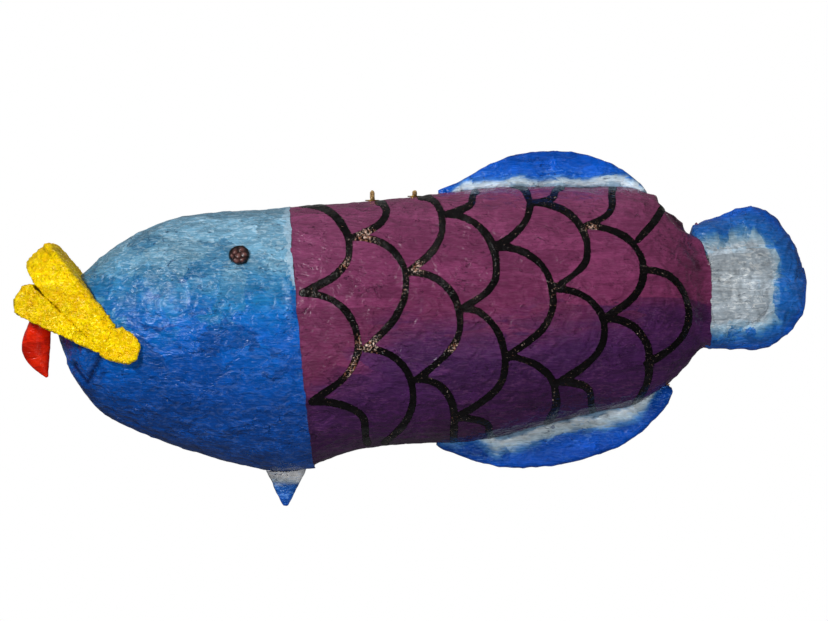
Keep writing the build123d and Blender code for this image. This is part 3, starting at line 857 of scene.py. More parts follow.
def plate_piece(name, outer, inner, body, replaced):
    """A thin closed plate between two grids of points."""
    rows, columns = outer.shape[:2]
    count = rows * columns
    points = np.vstack([outer.reshape(-1, 3), inner.reshape(-1, 3)])
    faces = []
    for i in range(rows - 1):
        for j in range(columns - 1):
            a = i * columns + j
            quad = (a, a + columns, a + columns + 1, a + 1)
            faces.append(quad)
            faces.append(tuple(k + count for k in reversed(quad)))
    edge = [i * columns for i in range(rows)]
    edge += [(rows - 1) * columns + j for j in range(1, columns)]
    edge += [i * columns + columns - 1 for i in range(rows - 2, -1, -1)]
    edge += [j for j in range(columns - 2, 0, -1)]
    for a, b in zip(edge, edge[1:] + edge[:1]):
        faces.append((a, b, b + count, a + count))
    return new_piece(name, points, faces, body, replaced)


def build_door():
    """The filling door: cut from the same shell, so that its paint and lumps run on."""
    grid, normals = flank_grid((door_low[0], door_high[0]), (door_low[2], door_high[2]), *DOOR_GRID)
    outer = raised(grid, normals, body_relief)
    inner = outer - normals * WALL
    piece = plate_piece("filling_door_painted", outer, inner, "filling_door", ["filling_door"])
    paint_body(piece)
    dress(piece, body_material)


build_door()


# ---------------------------------------------------------------- head shell
SNOUT = np.array([-215.0, 0.0, 0.0])
HEAD_ROWS = 60                  # sections from the neck to the snout's middle
NOSE_ROWS = 68                  # rows that fan round the nose from there
NECK_HALF = 40.0                # half length of the sections' middle line at the neck
SNOUT_HALF = 10.0               # and at the snout's middle
NOSE_HOLE = 3                   # degrees off straight ahead at which the last row lies
# How far the head's first rows go past the seam, and how proud they stand.
TORN_ROWS = [(2.2, 0.9), (0.4, 1.0), (-0.3, 0.7), (0.0, 0.3)]


def head_rows():
    """Where the head's rows lie: sections from the neck to the snout, then a fan to the nose."""
    t = np.linspace(0, 1, HEAD_ROWS + 1)[:, None]
    start = np.array([NECK_MIDDLE[0] - EDGE, 0.0, NECK_MIDDLE[2]])
    origins = start + (SNOUT - start) * t
    leans = NECK_LEAN * (1 - t[:, 0])
    ups = np.stack([-np.sin(leans), 0 * leans, np.cos(leans)], axis=1)
    halves = NECK_HALF - (NECK_HALF - SNOUT_HALF) * t[:, 0]
    turn = np.radians(np.linspace(90, NOSE_HOLE, NOSE_ROWS + 1))[1:]
    aheads = np.stack([-np.cos(turn), 0 * turn, 0 * turn], axis=1)
    origins = np.vstack([origins, np.tile(SNOUT, (NOSE_ROWS, 1))])
    ups = np.vstack([ups, np.tile((0.0, 0.0, 1.0), (NOSE_ROWS, 1))])
    halves = np.concatenate([halves, np.full(NOSE_ROWS, SNOUT_HALF)])
    return origins, ups, halves, np.vstack([np.zeros((HEAD_ROWS + 1, 3)), aheads])


def torn_edge(grid, normals):
    """Lets the head's last paper layer end a little past the neck seam, raised and ragged."""
    grid = grid.copy()
    for i, (past, proud) in enumerate(TORN_ROWS):
        ragged = 1.0 * noise(grid[i], 9, 61) + 0.5 * noise(grid[i], 3.5, 62) if i == 0 else 0.0
        grid[i, :, 0] += past + ragged
        grid[i] += normals[i] * proud
    return grid


head_grid = smooth_grid(section_grid("head_shell", *head_rows(), heal=False), 2)
head_normals = -grid_normals(head_grid)
head_outer = raised(head_grid, head_normals, head_relief)
head_inner = head_outer - head_normals * WALL
head = shell_piece("head_shell_painted", torn_edge(head_outer, head_normals), head_inner, "fish",
                   ["head_shell"], closed_end=True)


def paint_head(piece):
    """Stores the head's paint: height above the border of the pale crown, the neck's edge, and painted shade
    along the folds under the mouth's corner.
    """
    points = points_of(piece.data)[0]
    x, z = points[:, 0], points[:, 2]
    border = 42 - 9 * hump(points, (-130, 40), (30, 60)) + 7 * noise(points, 36, 63)
    border -= 14 * smooth_step(x, -225, -262)
    paint_tones(piece, 0.5 + (z - border) / TONE_HEIGHT, smooth_step(z, 15, 75) * 0.7 + 0.1)
    # Painted shade along the folds under the mouth's corner, for the material to darken.
    paint_values(piece, "crease", near(jaw_crease(points), 1.8))
    seam = NECK_MIDDLE[0] - np.tan(NECK_LEAN) * (z - NECK_MIDDLE[2])
    below_crown = 16 * smooth_step(z, 45, 15)
    paint_values(piece, "edge", seam - x - 3 + below_crown + 1.5 * noise(points, 14, 64))


def head_paint():
    """Blue brushed over the whole head, paler and drier towards the crown, with painted shade in the folds
    under the mouth's corner.
    """
    stops = [
        (0.00, (6, 62, 138)), (0.15, (2, 66, 144)), (0.30, (0, 78, 160)), (0.38, (6, 92, 162)),
        (0.44, (24, 104, 158)), (0.51, (58, 120, 160)), (0.60, (92, 140, 168)), (0.80, (112, 154, 178)),
    ]
    paint, shade, rough, heights = acrylic(
        "head_paint_brushed", stops, dab=(34, (1.0, 1.0, 1.5), 0.06), band=(20, (1.7, 1.7, 1), 0.05),
        streak=(3.0, (3, 3, 1), 0.05), scumble=((186, 206, 216), 0.42), gloss=0.27,
        pit=(4, 44, 104), contrast=0.42,
    )
    ragged = paint.math("ADD", paint.value("edge"), paint.spread(paint.noise(5, 4, seed=25), 9.0))
    pale = paint.math("MULTIPLY", paint.between(ragged, 1.0, -0.8), 0.6)
    shade = paint.mix(pale, shade, colour((160, 186, 204)))
    # Painted shade: the folds under the mouth's corner are mixed towards deep navy.
    shade = paint.mix(paint.math("MULTIPLY", paint.value("crease"), 0.95), shade, colour((2, 16, 54)))
    return paint.finish(shade, rough, heights, coat=0.05)


paint_head(head)
dress(head, head_paint())


# ---------------------------------------------------------------- fins, tail, mouth and eyes
def soft_piece(name, node, voxel, smoothing, relief):
    """A CAD node's solid, evened out and given a relief; it stands for that node."""
    points, normals, faces = remeshed(node, voxel, smoothing)
    points = points + normals * relief(points)[:, None]
    return new_piece(name, points, faces, "fish", [node], sharp=70.0)


back_line = body_outer[:, FAN // 2]
belly_line = body_outer[:, FAN + SIDE + FAN // 2]


def above_back(points):
    """Height above the body's back line, in mm."""
    return points[:, 2] - np.interp(points[:, 0], back_line[:, 0], back_line[:, 2])


def below_belly(points):
    """Depth below the body's belly line, in mm."""
    return np.interp(points[:, 0], belly_line[:, 0], belly_line[:, 2]) - points[:, 2]


def build_fin(name, node, root_distance, band, front, seed):
    """A card fin skinned with paper; its root sinks into the body. band is the height in mm that
    the tones run over, and ahead of front the blue paint comes right down to the root."""
    def relief(points):
        paper = 0.9 * noise(points, 24, seed) + 0.45 * noise(points, 9, seed + 1)
        ends = 2.8 * smooth_step(points[:, 0], 203, 214) + 2.2 * smooth_step(points[:, 0], 45, 25)
        return paper + 0.6 * ridges(points, 16, seed + 2) ** 2 + ends

    points, normals, faces = remeshed(node, 1.5, 4)
    points = points + normals * relief(points)[:, None]
    inwards = -np.sign(np.mean(points[:, 2]))
    points[:, 2] += inwards * 2.5 * smooth_step(root_distance(points), 3, 0)
    fin = new_piece(name, points, faces, "fish", [node], sharp=70.0)
    blue_ends = 0.35 * smooth_step(points[:, 0], front + 25, front)
    blue_ends = blue_ends + 0.35 * smooth_step(points[:, 0], 198, 212)
    uneven = 0.07 * noise(points, 18, seed + 4)
    paint_values(fin, "tone", root_distance(points) / band + blue_ends + uneven)
    near_root = 0.15 + 0.85 * smooth_step(root_distance(points), 0.55 * band, 0.2 * band)
    paint_values(fin, "dry", near_root * np.clip(0.5 + 0.7 * noise(points, 20, seed + 3), 0, 1))
    return fin


def fin_paint(name, stops):
    """Blue fins with a paler band left at the root, and a thin painted shade right where they meet the body.
    """
    return brushed(
        name, stops, coat=0.1, dab=(16, (2, 2, 1), 0.05), streak=(2.6, (4, 4, 2), 0.05),
        scumble=((120, 170, 220), 0.4), gloss=0.3, pit=(0, 30, 100), contrast=0.45,
    )


# Each fin's first stop, at its root, is a darker grey: painted shade where the fin meets the body, before the
# pale band and the blue.
DORSAL_STOPS = [
    (0.00, (150, 176, 198)), (0.06, (206, 220, 230)), (0.16, (176, 200, 220)), (0.24, (50, 112, 190)),
    (0.32, (4, 80, 180)), (0.70, (0, 76, 180)), (1.00, (0, 68, 166)),
]
VENTRAL_STOPS = [
    (0.00, (116, 146, 172)), (0.06, (196, 206, 212)), (0.20, (170, 192, 206)), (0.30, (64, 120, 180)),
    (0.40, (2, 66, 156)), (0.80, (0, 60, 154)), (1.00, (0, 52, 142)),
]
PELVIC_STOPS = [
    (0.00, (150, 154, 160)), (0.22, (206, 206, 206)), (0.36, (150, 164, 176)), (0.46, (24, 82, 158)),
    (1.00, (6, 60, 146)),
]

dorsal_fin = build_fin("dorsal_fin_painted", "dorsal_fin_skin", above_back, 34, 26, 70)
dress(dorsal_fin, fin_paint("dorsal_fin_paint_brushed", DORSAL_STOPS))
ventral_fin = build_fin("ventral_fin_painted", "ventral_fin_skin", below_belly, 46, 50, 80)
dress(ventral_fin, fin_paint("ventral_fin_paint_brushed", VENTRAL_STOPS))


def pelvic_relief(points):
    return 0.7 * noise(points, 9, 90) + 0.35 * noise(points, 4, 91)


pelvic_fin = soft_piece("pelvic_fin_painted", "pelvic_fin", 0.8, 3, pelvic_relief)
pelvic_low, pelvic_high = box_mm("pelvic_fin")
pelvic_points = points_of(pelvic_fin.data)[0]
pelvic_fall = (pelvic_high[2] - pelvic_points[:, 2]) / (pelvic_high[2] - pelvic_low[2])
paint_tones(pelvic_fin, pelvic_fall, 0.6)
dress(pelvic_fin, fin_paint("pelvic_fin_paint_brushed", PELVIC_STOPS))

# The tail's pale dish is a rounded square in side view.
DISH_MIDDLE = (272.0, 37.0)
DISH_REACH = (42.0, 42.0)


def dish_distance(points):
    """0 in the middle of the tail's dish, 1 at its edge."""
    dx = np.abs(points[:, 0] - DISH_MIDDLE[0]) / DISH_REACH[0]
    dz = np.abs(points[:, 2] - DISH_MIDDLE[1]) / DISH_REACH[1]
    return (dx ** 3 + dz ** 3) ** (1 / 3)


def tail_relief(points):
    paper = 0.9 * noise(points, 26, 100) + 0.5 * noise(points, 10, 101) + 0.2 * noise(points, 4, 102)
    side = smooth_step(np.abs(points[:, 1]), 6, 16)
    dish = -3.5 * smooth_step(dish_distance(points), 1.05, 0.55) * side
    folds = 1.0 * ridges(points, 20, 103, (0.6, 1, 1.6)) ** 2
    return paper + dish + folds + tail_swell(points)


tail = soft_piece("tail_painted", "tail_skin", 1.5, 4, tail_relief)
tail_points = points_of(tail.data)[0]
tail_side = smooth_step(np.abs(tail_points[:, 1]), 5, 15)
tail_tone = dish_distance(tail_points) * 0.5 + (1 - tail_side) * 0.35
in_dish = smooth_step(dish_distance(tail_points), 1.0, 0.82)
paint_tones(tail, tail_tone, (0.55 + 0.6 * noise(tail_points, 20, 104)) * (0.08 + 0.92 * in_dish))


def tail_paint():
    """Pale grey-white in the dish, teal round it and blue on the rim."""
    stops = [
        (0.00, (152, 160, 166)), (0.34, (154, 166, 176)), (0.43, (134, 164, 184)),
        (0.49, (66, 120, 166)), (0.55, (22, 92, 170)), (0.70, (30, 88, 164)), (1.00, (4, 86, 192)),
    ]
    return brushed(
        "tail_paint_brushed", stops, coat=0.08, dab=(15, (1, 1, 1.7), 0.06),
        streak=(2.6, (2, 2, 5), 0.06), scumble=((232, 234, 232), 0.6), gloss=0.28,
        pit=(24, 62, 116), pits=0.3, depth=0.9, contrast=0.42,
    )


dress(tail, tail_paint())


def pulp_crests(points, seed):
    """Worm-like crests of hand-pressed paper pulp and smaller crumbs between them, 0 to 1."""
    bent = points + wobble(points, 3.0, 10, seed)
    return ridges(bent, 8, seed + 4), ridges(bent, 4, seed + 5)


def pulp_relief(points, seed):
    """Relief of the pulp, in mm: flat facets under small curly crests."""
    worms, crumbs = pulp_crests(points, seed)
    facets = 1.1 * noise(points, 22, seed + 6)
    return facets + 1.1 * worms ** 1.5 + 0.6 * crumbs + 0.2 * noise(points, 3, seed + 7) - 0.8


def paint_pulp_shading(piece, seed):
    """Stores how far each place stands out of its surroundings as the pulp's tone, so the crests get painted
    light and the hollows painted shade.
    """
    worms, crumbs = pulp_crests(points_of(piece.data)[0], seed)
    paint_tones(piece, 0.25 + 0.6 * (0.6 * worms + 0.4 * crumbs), 0.5)


def lip_paint(name, stops):
    """Thick yellow acrylic in small worm-like curls, with painted shade in the hollows of the pulp."""
    paint, shade, rough, heights = acrylic(
        name, stops, dab=(9, (1, 1, 1), 0.06), streak=(2.2, (3, 3, 2), 0.08),
        scumble=((255, 222, 6), 0.25), gloss=0.22, pit=(176, 110, 0), pits=0.3, depth=0.8, contrast=0.2,
    )
    worms = paint.between(paint.noise(3.4, 1, (1.5, 1.5, 1), seed=27, warp=2.6), 0.38, 0.6)
    # Painted shade: the hollows between the curls, which also raise the bump, are mixed towards orange.
    deep = paint.math("MULTIPLY", paint.math("SUBTRACT", 1.0, worms), 0.25)
    shade = paint.mix(deep, shade, colour((214, 140, 0)))
    return paint.finish(shade, rough, heights + [(worms, 0.8)])


# A place on the upper lip's top face, in side view, and which way that face looks.
UPPER_LIP_TOP = ((-246.0, -3.0), (0.763, 0.646))


def lip_top(points):
    """The upper lip is padded thicker on its top face."""
    (x, z), (out_x, out_z) = UPPER_LIP_TOP
    height = (points[:, 0] - x) * out_x + (points[:, 2] - z) * out_z
    ends = smooth_step(points[:, 0], -238, -252) * smooth_step(points[:, 0], -313, -305)
    return 3.2 * smooth_step(height, -3.5, -0.5) * ends


def lips_together(points):
    """Behind their tips the lips are pressed together."""
    return 0.9 * smooth_step(points[:, 0], -316, -300) * smooth_step(points[:, 0], -244, -254)


def build_lip(node, voxel, grow, seed, material):
    """One bar or knob of yellow pulp, grown by a few tenths of a millimetre."""
    def relief(points):
        return pulp_relief(points, seed) + grow + lip_top(points) + lips_together(points)

    lip = soft_piece(node + "_painted", node, voxel, 1, relief)
    paint_pulp_shading(lip, seed)
    dress(lip, material)


# Low tone is the pulp's hollows and high tone its crests: darker orange as painted shade, bright yellow as
# painted light.
yellow = lip_paint("lip_paint_brushed", [
    (0.00, (226, 160, 0)), (0.25, (250, 198, 0)), (0.50, (255, 216, 0)), (0.80, (255, 226, 0)),
])
build_lip("upper_lip", 1.2, 0.0, 110, yellow)
build_lip("lower_lip", 1.2, -0.6, 120, yellow)
build_lip("left_mouth_corner", 0.8, 0.9, 130, yellow)
build_lip("right_mouth_corner", 0.8, 0.9, 140, yellow)


def tongue_relief(points):
    return 0.5 * noise(points, 10, 150) + 0.3 * noise(points, 4, 151)


tongue = soft_piece("tongue_painted", "tongue", 0.8, 3, tongue_relief)
tongue_points = points_of(tongue.data)[0]
paint_tones(tongue, 0.5 + 0.35 * noise(tongue_points, 12, 152), 0.4)
dress(tongue, brushed(
    "tongue_paint_brushed", [(0.1, (150, 8, 0)), (0.5, (196, 24, 0)), (0.9, (212, 36, 0))],
    coat=0.1, dab=(8, (1, 1, 2), 0.08), streak=(1.8, (2, 2, 5), 0.1),
    scumble=((226, 70, 30), 0.3), gloss=0.32, pit=(110, 4, 0), pits=0.3, depth=0.7, contrast=0.3,
))


def build_eye(name, node, material):
    """A glossy black-brown eye pressed from little balls of pulp, like a raspberry, with painted shade in the
    gaps between the balls.
    """
    low, high = box_mm(node)
    middle = (low + high) / 2
    side = np.sign(middle[1])
    balls = [(0.0, 0.0)]
    for k, turn in enumerate(np.radians((12, 66, 140, 188, 252, 300))):
        reach = 5.6 if k % 2 else 4.6
        balls.append((reach * math.cos(turn), reach * math.sin(turn)))

    def ball_height(points):
        points = points + wobble(points, 2.0, 5, 161)
        gaps = [np.hypot(points[:, 0] - middle[0] - dx, points[:, 2] - middle[2] - dz) for dx, dz in balls]
        return near(np.min(gaps, axis=0), 2.4)

    def relief(points):
        outward = np.clip((points[:, 1] * side - np.min(points[:, 1] * side)) / 6, 0, 1)
        return 1.8 * ball_height(points) * outward + 0.25 * noise(points, 3, 160)

    eye = soft_piece(name, node, 0.5, 3, relief)
    points = points_of(eye.data)[0]
    rim = np.hypot(points[:, 0] - middle[0], points[:, 2] - middle[2]) / 8.5
    # The tone follows the balls' height: the gaps between them get a darker painted shade, and towards the
    # rim it falls to the dark outline.
    paint_values(eye, "tone", 0.9 * ball_height(points) * smooth_step(rim, 1.0, 0.75))
    dress(eye, material)


def eye_lacquer():
    paint = Paint("eye_lacquer_glossy")
    grain = paint.noise(1.6, 4, seed=26)
    tone = paint.math("ADD", paint.value("tone"), paint.spread(grain, 0.15))
    shade = paint.ramp(tone, [(0.15, (14, 8, 8)), (0.55, (70, 42, 40)), (0.95, (112, 74, 70))])
    rough = paint.math("MULTIPLY_ADD", grain, 0.2, 0.12)
    return paint.finish(shade, rough, [(grain, 0.5)], coat=0.5)


lacquer = eye_lacquer()
build_eye("left_eye_lacquered", "left_eye", lacquer)
build_eye("right_eye_lacquered", "right_eye", lacquer)


# ---------------------------------------------------------------- door tapes and pull tab
def build_patch(name, node, lift, thick, body, material, seed):
    """A piece of tape or card pressed onto the right flank over the CAD node's side view box."""
    low, high = box_mm(node)
    grid, normals = flank_grid((low[0], high[0]), (low[2], high[2]), *PATCH_GRID)
    wavy = raised(grid, normals, lambda p: body_relief(p) + lift + 0.25 * noise(p, 9, seed))
    torn = 0.7 * noise(wavy.reshape(-1, 3), 3.5, seed + 1).reshape(wavy.shape[:2])
    wavy[0, :, 0] -= torn[0]
    wavy[-1, :, 0] += torn[-1]
    piece = plate_piece(name, wavy, wavy - normals * thick, body, [node])
    dress(piece, material)


def tape_paint():
    """Cream paper tape with fine crepe ribs and a faint plum tint here and there."""
    paint = Paint("door_tape_paper")
    ribs = paint.noise(0.8, 3, (1, 1, 9), seed=27, warp=0.5)
    stain = paint.between(paint.noise(30, 1, seed=28), 0.5, 0.8)
    shade = paint.ramp(ribs, [(0.3, (196, 178, 138)), (0.7, (226, 212, 176))])
    shade = paint.mix(paint.math("MULTIPLY", stain, 0.45), shade, colour((140, 96, 104)))
    rough = paint.math("MULTIPLY_ADD", ribs, 0.2, 0.6)
    return paint.finish(shade, rough, [(ribs, 0.4)])


cream_tape = tape_paint()
red_card = plain("pull_tab_card", (150, 34, 30), (196, 58, 48), 3.0, (1, 1, 3), 0.55, 0.4)
build_patch("hinge_tape_on_shell_paper", "hinge_tape_on_shell", 1.0, 0.7, "fish",
            cream_tape, 170)
build_patch("hinge_tape_on_door_paper", "hinge_tape_on_door", 1.0, 0.7, "filling_door",
            cream_tape, 172)
build_patch("door_pull_tab_card", "door_pull_tab", 1.6, 1.2, "filling_door", red_card, 174)


# ---------------------------------------------------------------- cords
TUBE_SIDES = 8
KNOT_RADIUS = 1.7
TWINE_STEP = 0.7                # between the points of a strand
TWINE_PITCH = 9.0               # length of a strand's full turn


def across(path, hint):
    """Two directions at each point of a path, square to it and to each other."""
    ahead = np.gradient(path, axis=0)
    ahead /= np.linalg.norm(ahead, axis=1, keepdims=True)
    side = np.cross(ahead, hint)
    side /= np.linalg.norm(side, axis=1, keepdims=True)
    return side, np.cross(ahead, side)


def ring_faces(rings, sides):
    """Faces of a closed tube whose points come ring by ring."""
    faces = []
    for i in range(rings - 1):
        for j in range(sides):
            k = (j + 1) % sides
            faces.append((i * sides + j, i * sides + k, (i + 1) * sides + k, (i + 1) * sides + j))
    faces.append(tuple(range(sides)))
    faces.append(tuple((rings - 1) * sides + j for j in range(sides)))
    return faces


def joined(parts):
    """Several (points, faces) meshes as one."""
    points, faces = [], []
    for more, made in parts:
        count = sum(map(len, points))
        points.append(more)
        faces += [tuple(k + count for k in face) for face in made]
    return np.vstack(points), faces


def tube(path, radius):
    """Points and faces of a closed tube along a path."""
    side, other = across(path, (0.13, 0.21, 0.97))
    turns = np.linspace(0, 2 * math.pi, TUBE_SIDES, endpoint=False)
    ring = np.cos(turns)[None, :, None] * side[:, None] + np.sin(turns)[None, :, None] * other[:, None]
    points = (path[:, None] + radius * ring).reshape(-1, 3)
    return points, ring_faces(len(path), TUBE_SIDES)


def evenly(points, step):
    """A path resampled at even steps."""
    points = np.asarray(points, float)
    run = np.concatenate([[0], np.cumsum(np.linalg.norm(np.diff(points, axis=0), axis=1))])
    at = np.arange(0, run[-1], step)
    return np.stack([np.interp(at, run, points[:, k]) for k in range(3)], axis=1)


def twine(path):
    """A cord of three twisted strands along a path: points and faces."""
    path = evenly(path, TWINE_STEP)
    side, other = across(path, (0.13, 0.97, 0.21))
    turn = 2 * math.pi * np.arange(len(path)) * TWINE_STEP / TWINE_PITCH
    strands = []
    for strand in range(3):
        angle = (turn + strand * 2 * math.pi / 3)[:, None]
        run = path + 0.5 * CORD_RADIUS * (np.cos(angle) * side + np.sin(angle) * other)
        strands.append(tube(run, 0.55 * CORD_RADIUS))
    return joined(strands)


def curve_through(knots, steps=12):
    """A smooth path through knots."""
    knots = [np.array(k, float) for k in knots]
    padded = [2 * knots[0] - knots[1]] + knots + [2 * knots[-1] - knots[-2]]
    path = []
    for before, a, b, after in zip(padded, padded[1:], padded[2:], padded[3:]):
        for t in np.linspace(0, 1, steps, endpoint=False):
            path.append(0.5 * (2 * a + (b - before) * t + (2 * before - 5 * a + 4 * b - after) * t * t
                               + (3 * a - before - 3 * b + after) * t ** 3))
    path.append(knots[-1])
    return path


body_tree = tree_of("body_shell")
loop_swing = next(joint for joint in frame["joints"] if joint["name"] == "loop_swing")
pivot_height = loop_swing["pos_m"][2] / MM
loop_middle = (eyelet_x[0] + eyelet_x[1]) / 2
loop_spread = (eyelet_x[1] - eyelet_x[0]) / 2


def draped(x, y):
    """A point of the loop's centre line where it lies on the back."""
    hit = cast_in(body_tree, np.array([[x, y, 0.0]]), np.array([[0.0, 0.0, 1.0]]))[0]
    return (x, y, hit[2] + CORD_RADIUS + 1.4)


def loop_path():
    """The hanging loop's centre line: out of one eyelet, round on the back and into the other."""
    half = [(1.0, 14.0), (0.92, 28.0), (0.6, 43.0)]
    near = [draped(loop_middle - loop_spread * share, y) for share, y in half]
    tip = [draped(loop_middle, loop_high[1] - CORD_RADIUS)]
    far = [draped(loop_middle + loop_spread * share, y) for share, y in reversed(half)]
    first = (loop_middle - loop_spread, 0.0, pivot_height)
    last = (loop_middle + loop_spread, 0.0, pivot_height)
    return curve_through([first] + near + tip + far + [last])


def build_loop():
    points, faces = twine(loop_path())
    piece = new_piece("hanging_loop_twine", points, faces, "hanging_loop", ["hanging_loop"], 80.0)
    dress(piece, cord_paint)


def build_inside_cord():
    """The cord's run inside: down from one eyelet, under the stick, up to the other, and a knot."""
    left, right = eyelet_x
    knot_x = loop_middle + 12
    bottom = box_mm("hanger_stick")[0][2] - CORD_RADIUS
    top = box_mm("hanging_cord_inside")[1][2] - 0.3
    corners = [(left, 0, top), (left, 0, bottom + 8), (left + 3, 0, bottom + 2), (left + 9, 0, bottom),
               (knot_x, 0, bottom), (right - 6, 0, bottom + 0.6), (right - 1.6, 0, bottom + 4),
               (right, 0, bottom + 9), (right, 0, top)]
    parts = [twine(curve_through(corners))]
    for turn in range(2):
        around = np.linspace(0, 2 * math.pi, 40, endpoint=False)
        lean = 0.5 - turn
        ring = [(knot_x + lean * 4 + 1.2 * math.sin(a + turn), 2.6 * math.cos(a), bottom + 2.6 * math.sin(a))
                for a in around]
        parts.append(tube(evenly(ring + ring[:1], 0.8), KNOT_RADIUS))
    points, faces = joined(parts)
    piece = new_piece("hanging_cord_inside_twine", points, faces, "fish",
                      ["hanging_cord_inside"], 80.0)
    dress(piece, cord_paint)


cord_paint = plain("cord_jute", (126, 94, 54), (198, 168, 118), 1.2, (1, 1, 1), 0.75, 0.5)
build_loop()
build_inside_cord()


# ---------------------------------------------------------------- sweets
SWEET_RADIUS = 7.5
SWEET_HALF = 20.0
SWEET_HEAPS = 4
SWEET_PITCH = 42.0              # from heap to heap along the belly
SWEET_FLOOR = -88               # height of the first heap's lowest row
SWEET_SLOPE = 0.13              # the belly rises towards the tail
SWEET_LAYER = 15.5              # from layer to layer
SWEET_TURN = math.radians(4)
SWEET_ROWS = [(-11, 11), (-28, -9.4, 9.4, 28), (-37, -18.5, 0, 18.5, 37)]       # y, layer by layer


def one_sweet(seed):
    """A sweet in a twisted wrapper, lying along X: points and faces."""
    tail = np.linspace(10, SWEET_HALF, 9)
    lengths = np.concatenate([-tail[::-1], np.linspace(-9, 9, 15), tail])
    turns = np.linspace(0, 2 * math.pi, 28, endpoint=False)
    rings = []
    for u in lengths:
        if abs(u) < 10:
            radius = SWEET_RADIUS * (1 - (abs(u) / 11.5) ** 3.2)
            pleat = 0.05 * np.cos(14 * turns) * (abs(u) / 10) ** 2
        else:
            out = (abs(u) - 10) / (SWEET_HALF - 10)
            radius = 1.7 + 4.9 * out ** 1.3
            pleat = 0.28 * np.cos(7 * turns + seed + 1.5 * out)
        ring = radius * (1 + pleat)
        rings.append(np.stack([u + 0 * turns, ring * np.cos(turns), ring * np.sin(turns)], axis=1))
    return np.vstack(rings), ring_faces(len(lengths), len(turns))


def sweet_paint():
    """Foil in one of five colours, with fine stripes."""
    paint = Paint("sweet_wrapper_foil")
    stripes = paint.noise(2.5, 3, (4, 1, 1), seed=29)
    shade = paint.ramp(paint.value("tint"), [
        (0.0, (206, 34, 44)), (0.3, (240, 178, 24)), (0.5, (34, 140, 84)), (0.7, (36, 96, 190)),
        (0.9, (214, 84, 156)),
    ])
    shade = paint.mix(1.0, shade, paint.math("MULTIPLY_ADD", stripes, 0.5, 0.75), "MULTIPLY")
    rough = paint.math("MULTIPLY_ADD", stripes, 0.3, 0.15)
    return paint.finish(shade, rough, [(stripes, 0.5)], coat=0.3)


def build_sweets():
    """Heaps of wrapped sweets, each three layers deep and each sweet a little turned."""
    first = box_mm("wrapped_sweets")[0][0] + SWEET_HALF
    sweets, tints = [], []
    for heap in range(SWEET_HEAPS):
        floor = SWEET_FLOOR + SWEET_SLOPE * SWEET_PITCH * heap
        for layer, row in enumerate(SWEET_ROWS):
            for index, y in enumerate(row):
                points, faces = one_sweet(heap * 7 + layer * 3 + index)
                turn = SWEET_TURN if (heap + layer + index) % 2 else -SWEET_TURN
                ahead = (math.cos(turn), math.sin(turn), 0)
                aside = (-math.sin(turn), math.cos(turn), 0)
                place = (first + SWEET_PITCH * heap, y, floor + SWEET_LAYER * layer)
                sweets.append((points @ np.array([ahead, aside, (0, 0, 1)]) + place, faces))
                tints += [((heap * 11 + layer * 5 + index * 3) % 5 + 0.5) / 5] * len(points)
    points, faces = joined(sweets)
    piece = new_piece("wrapped_sweets_foil", points, faces, "fish",
                      ["wrapped_sweets"], 80.0)
    paint_values(piece, "tint", tints)
    dress(piece, sweet_paint())


build_sweets()

# ---------------------------------------------------------------- plain inner pieces
cardboard = plain("cardboard_brown", (140, 104, 66), (182, 146, 100), 2.0, (1, 1, 8), 0.8, 0.4)
brass = plain("eyelet_brass_worn", (150, 112, 48), (206, 170, 92), 1.2, (1, 1, 1), 0.22, 0.15, metallic=1.0)
wood = plain("stick_wood_grain", (160, 122, 78), (208, 172, 122), 2.4, (1, 10, 1), 0.6, 0.4)
newsprint = plain("stuffing_newsprint", (150, 148, 140), (206, 204, 196), 7.0, (1, 1, 1), 0.85, 1.5)
for card_node in ("neck_ring", "dorsal_fin_card", "ventral_fin_card", "door_stop_frame", "hanger_patch"):
    dress(nodes[card_node], cardboard)
dress(nodes["hanger_eyelets"], brass)
dress(nodes["hanger_stick"], wood)


def stuffing_relief(points):
    folded = ridges(points, 14, 180) + 0.6 * ridges(points, 8, 181)
    return 0.8 * noise(points, 20, 182) + 1.2 * folded - 2.6


stuffing = soft_piece("tail_stuffing_crumpled", "tail_stuffing", 1.6, 2, stuffing_relief)
dress(stuffing, newsprint)


# ---------------------------------------------------------------- stage, light and camera
FLOOR_DROP = 1400               # the floor lies this far below the fish
FLOOR_HALF = 7000
AIR_STRENGTH = 0.15             # how brightly the white air lights the fish


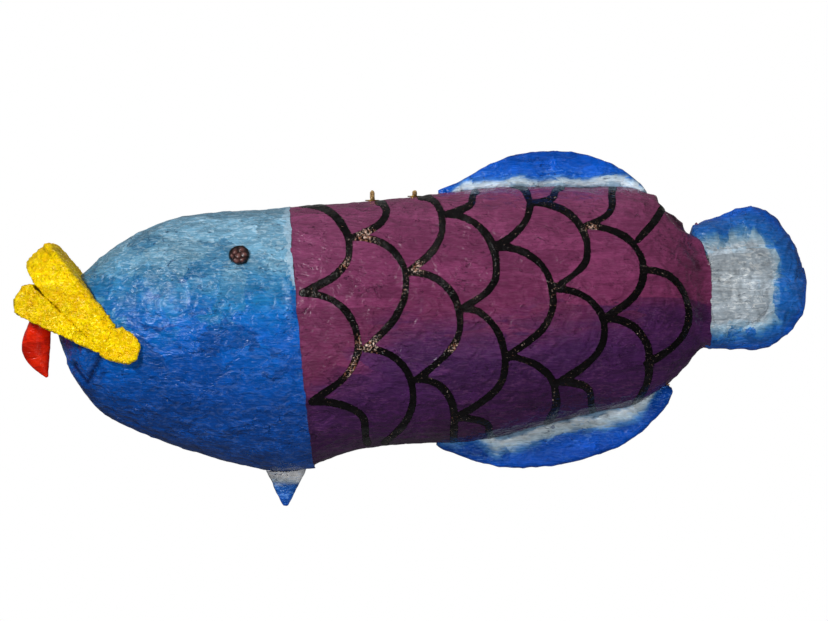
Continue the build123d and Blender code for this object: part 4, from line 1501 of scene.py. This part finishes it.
def build_stage():
    """A plain pale floor well below the fish; to the camera it is as white as the world behind."""
    height = fish_bottom - FLOOR_DROP
    corners = [(x * FLOOR_HALF, y * FLOOR_HALF, height) for x, y in ((-1, -1), (1, -1), (1, 1), (-1, 1))]
    mesh = bpy.data.meshes.new("studio_floor")
    mesh.from_pydata((np.array(corners) * MM).tolist(), [], [(0, 1, 2, 3)])
    ground = bpy.data.objects.new("studio_floor", mesh)
    bpy.context.scene.collection.objects.link(ground)
    paint = Paint("studio_white")
    paint.feed(paint.shader.inputs["Base Color"], colour((120, 120, 122)))
    paint.feed(paint.shader.inputs["Roughness"], 0.9)
    paint.feed(paint.shader.inputs["Emission Color"], (1, 1, 1, 1))
    to_camera = paint.node("ShaderNodeLightPath").outputs["Is Camera Ray"]
    paint.feed(paint.shader.inputs["Emission Strength"], to_camera)
    dress(ground, paint.material)


def add_light(name, place, target, size, power, glossy):
    """A soft square light at a place in mm, aimed at a target in mm; glossy if paint mirrors it."""
    light = bpy.data.lights.new(name, "AREA")
    light.size = size * MM
    light.energy = power
    holder = bpy.data.objects.new(name, light)
    holder.location = Vector(place) * MM
    holder.rotation_euler = (Vector(target) - Vector(place)).to_track_quat("-Z", "Y").to_euler()
    holder.visible_glossy = glossy
    bpy.context.scene.collection.objects.link(holder)


def build_camera():
    """Square on to the left side, as far back as a long lens."""
    camera = bpy.data.cameras.new("camera")
    camera.lens = 180
    camera.sensor_width = 36
    camera.clip_end = 100
    holder = bpy.data.objects.new("camera", camera)
    holder.location = Vector((2.5, -CAMERA_AWAY, CAMERA_UP + 0.3)) * MM
    holder.rotation_euler = (math.radians(90), 0, 0)
    bpy.context.scene.collection.objects.link(holder)
    bpy.context.scene.camera = holder


def build_world():
    """Dim white air that looks plain white to the camera."""
    world = bpy.data.worlds.new("studio_air")
    world.use_nodes = True
    bpy.context.scene.world = world
    shaders = world.node_tree.nodes
    links = world.node_tree.links
    background = shaders["Background"]
    background.inputs["Color"].default_value = (1, 1, 1, 1)
    strength = shaders.new("ShaderNodeMath")
    strength.operation = "MULTIPLY_ADD"
    links.new(shaders.new("ShaderNodeLightPath").outputs["Is Camera Ray"], strength.inputs[0])
    strength.inputs[1].default_value = 1 - AIR_STRENGTH
    strength.inputs[2].default_value = AIR_STRENGTH
    links.new(strength.outputs[0], background.inputs["Strength"])


build_stage()
build_world()
add_light("key", (-1500, -1700, 1100), (0, 0, 20), 300, 45, True)
add_light("fill", (500, -2400, -700), (0, 0, 0), 1300, 36, False)
add_light("top", (100, 300, 1700), (0, 0, 0), 1200, 8, False)
add_light("far_side", (700, 2400, 900), (0, 0, 0), 1100, 34, False)
bpy.context.scene.view_settings.view_transform = "Standard"
build_camera()
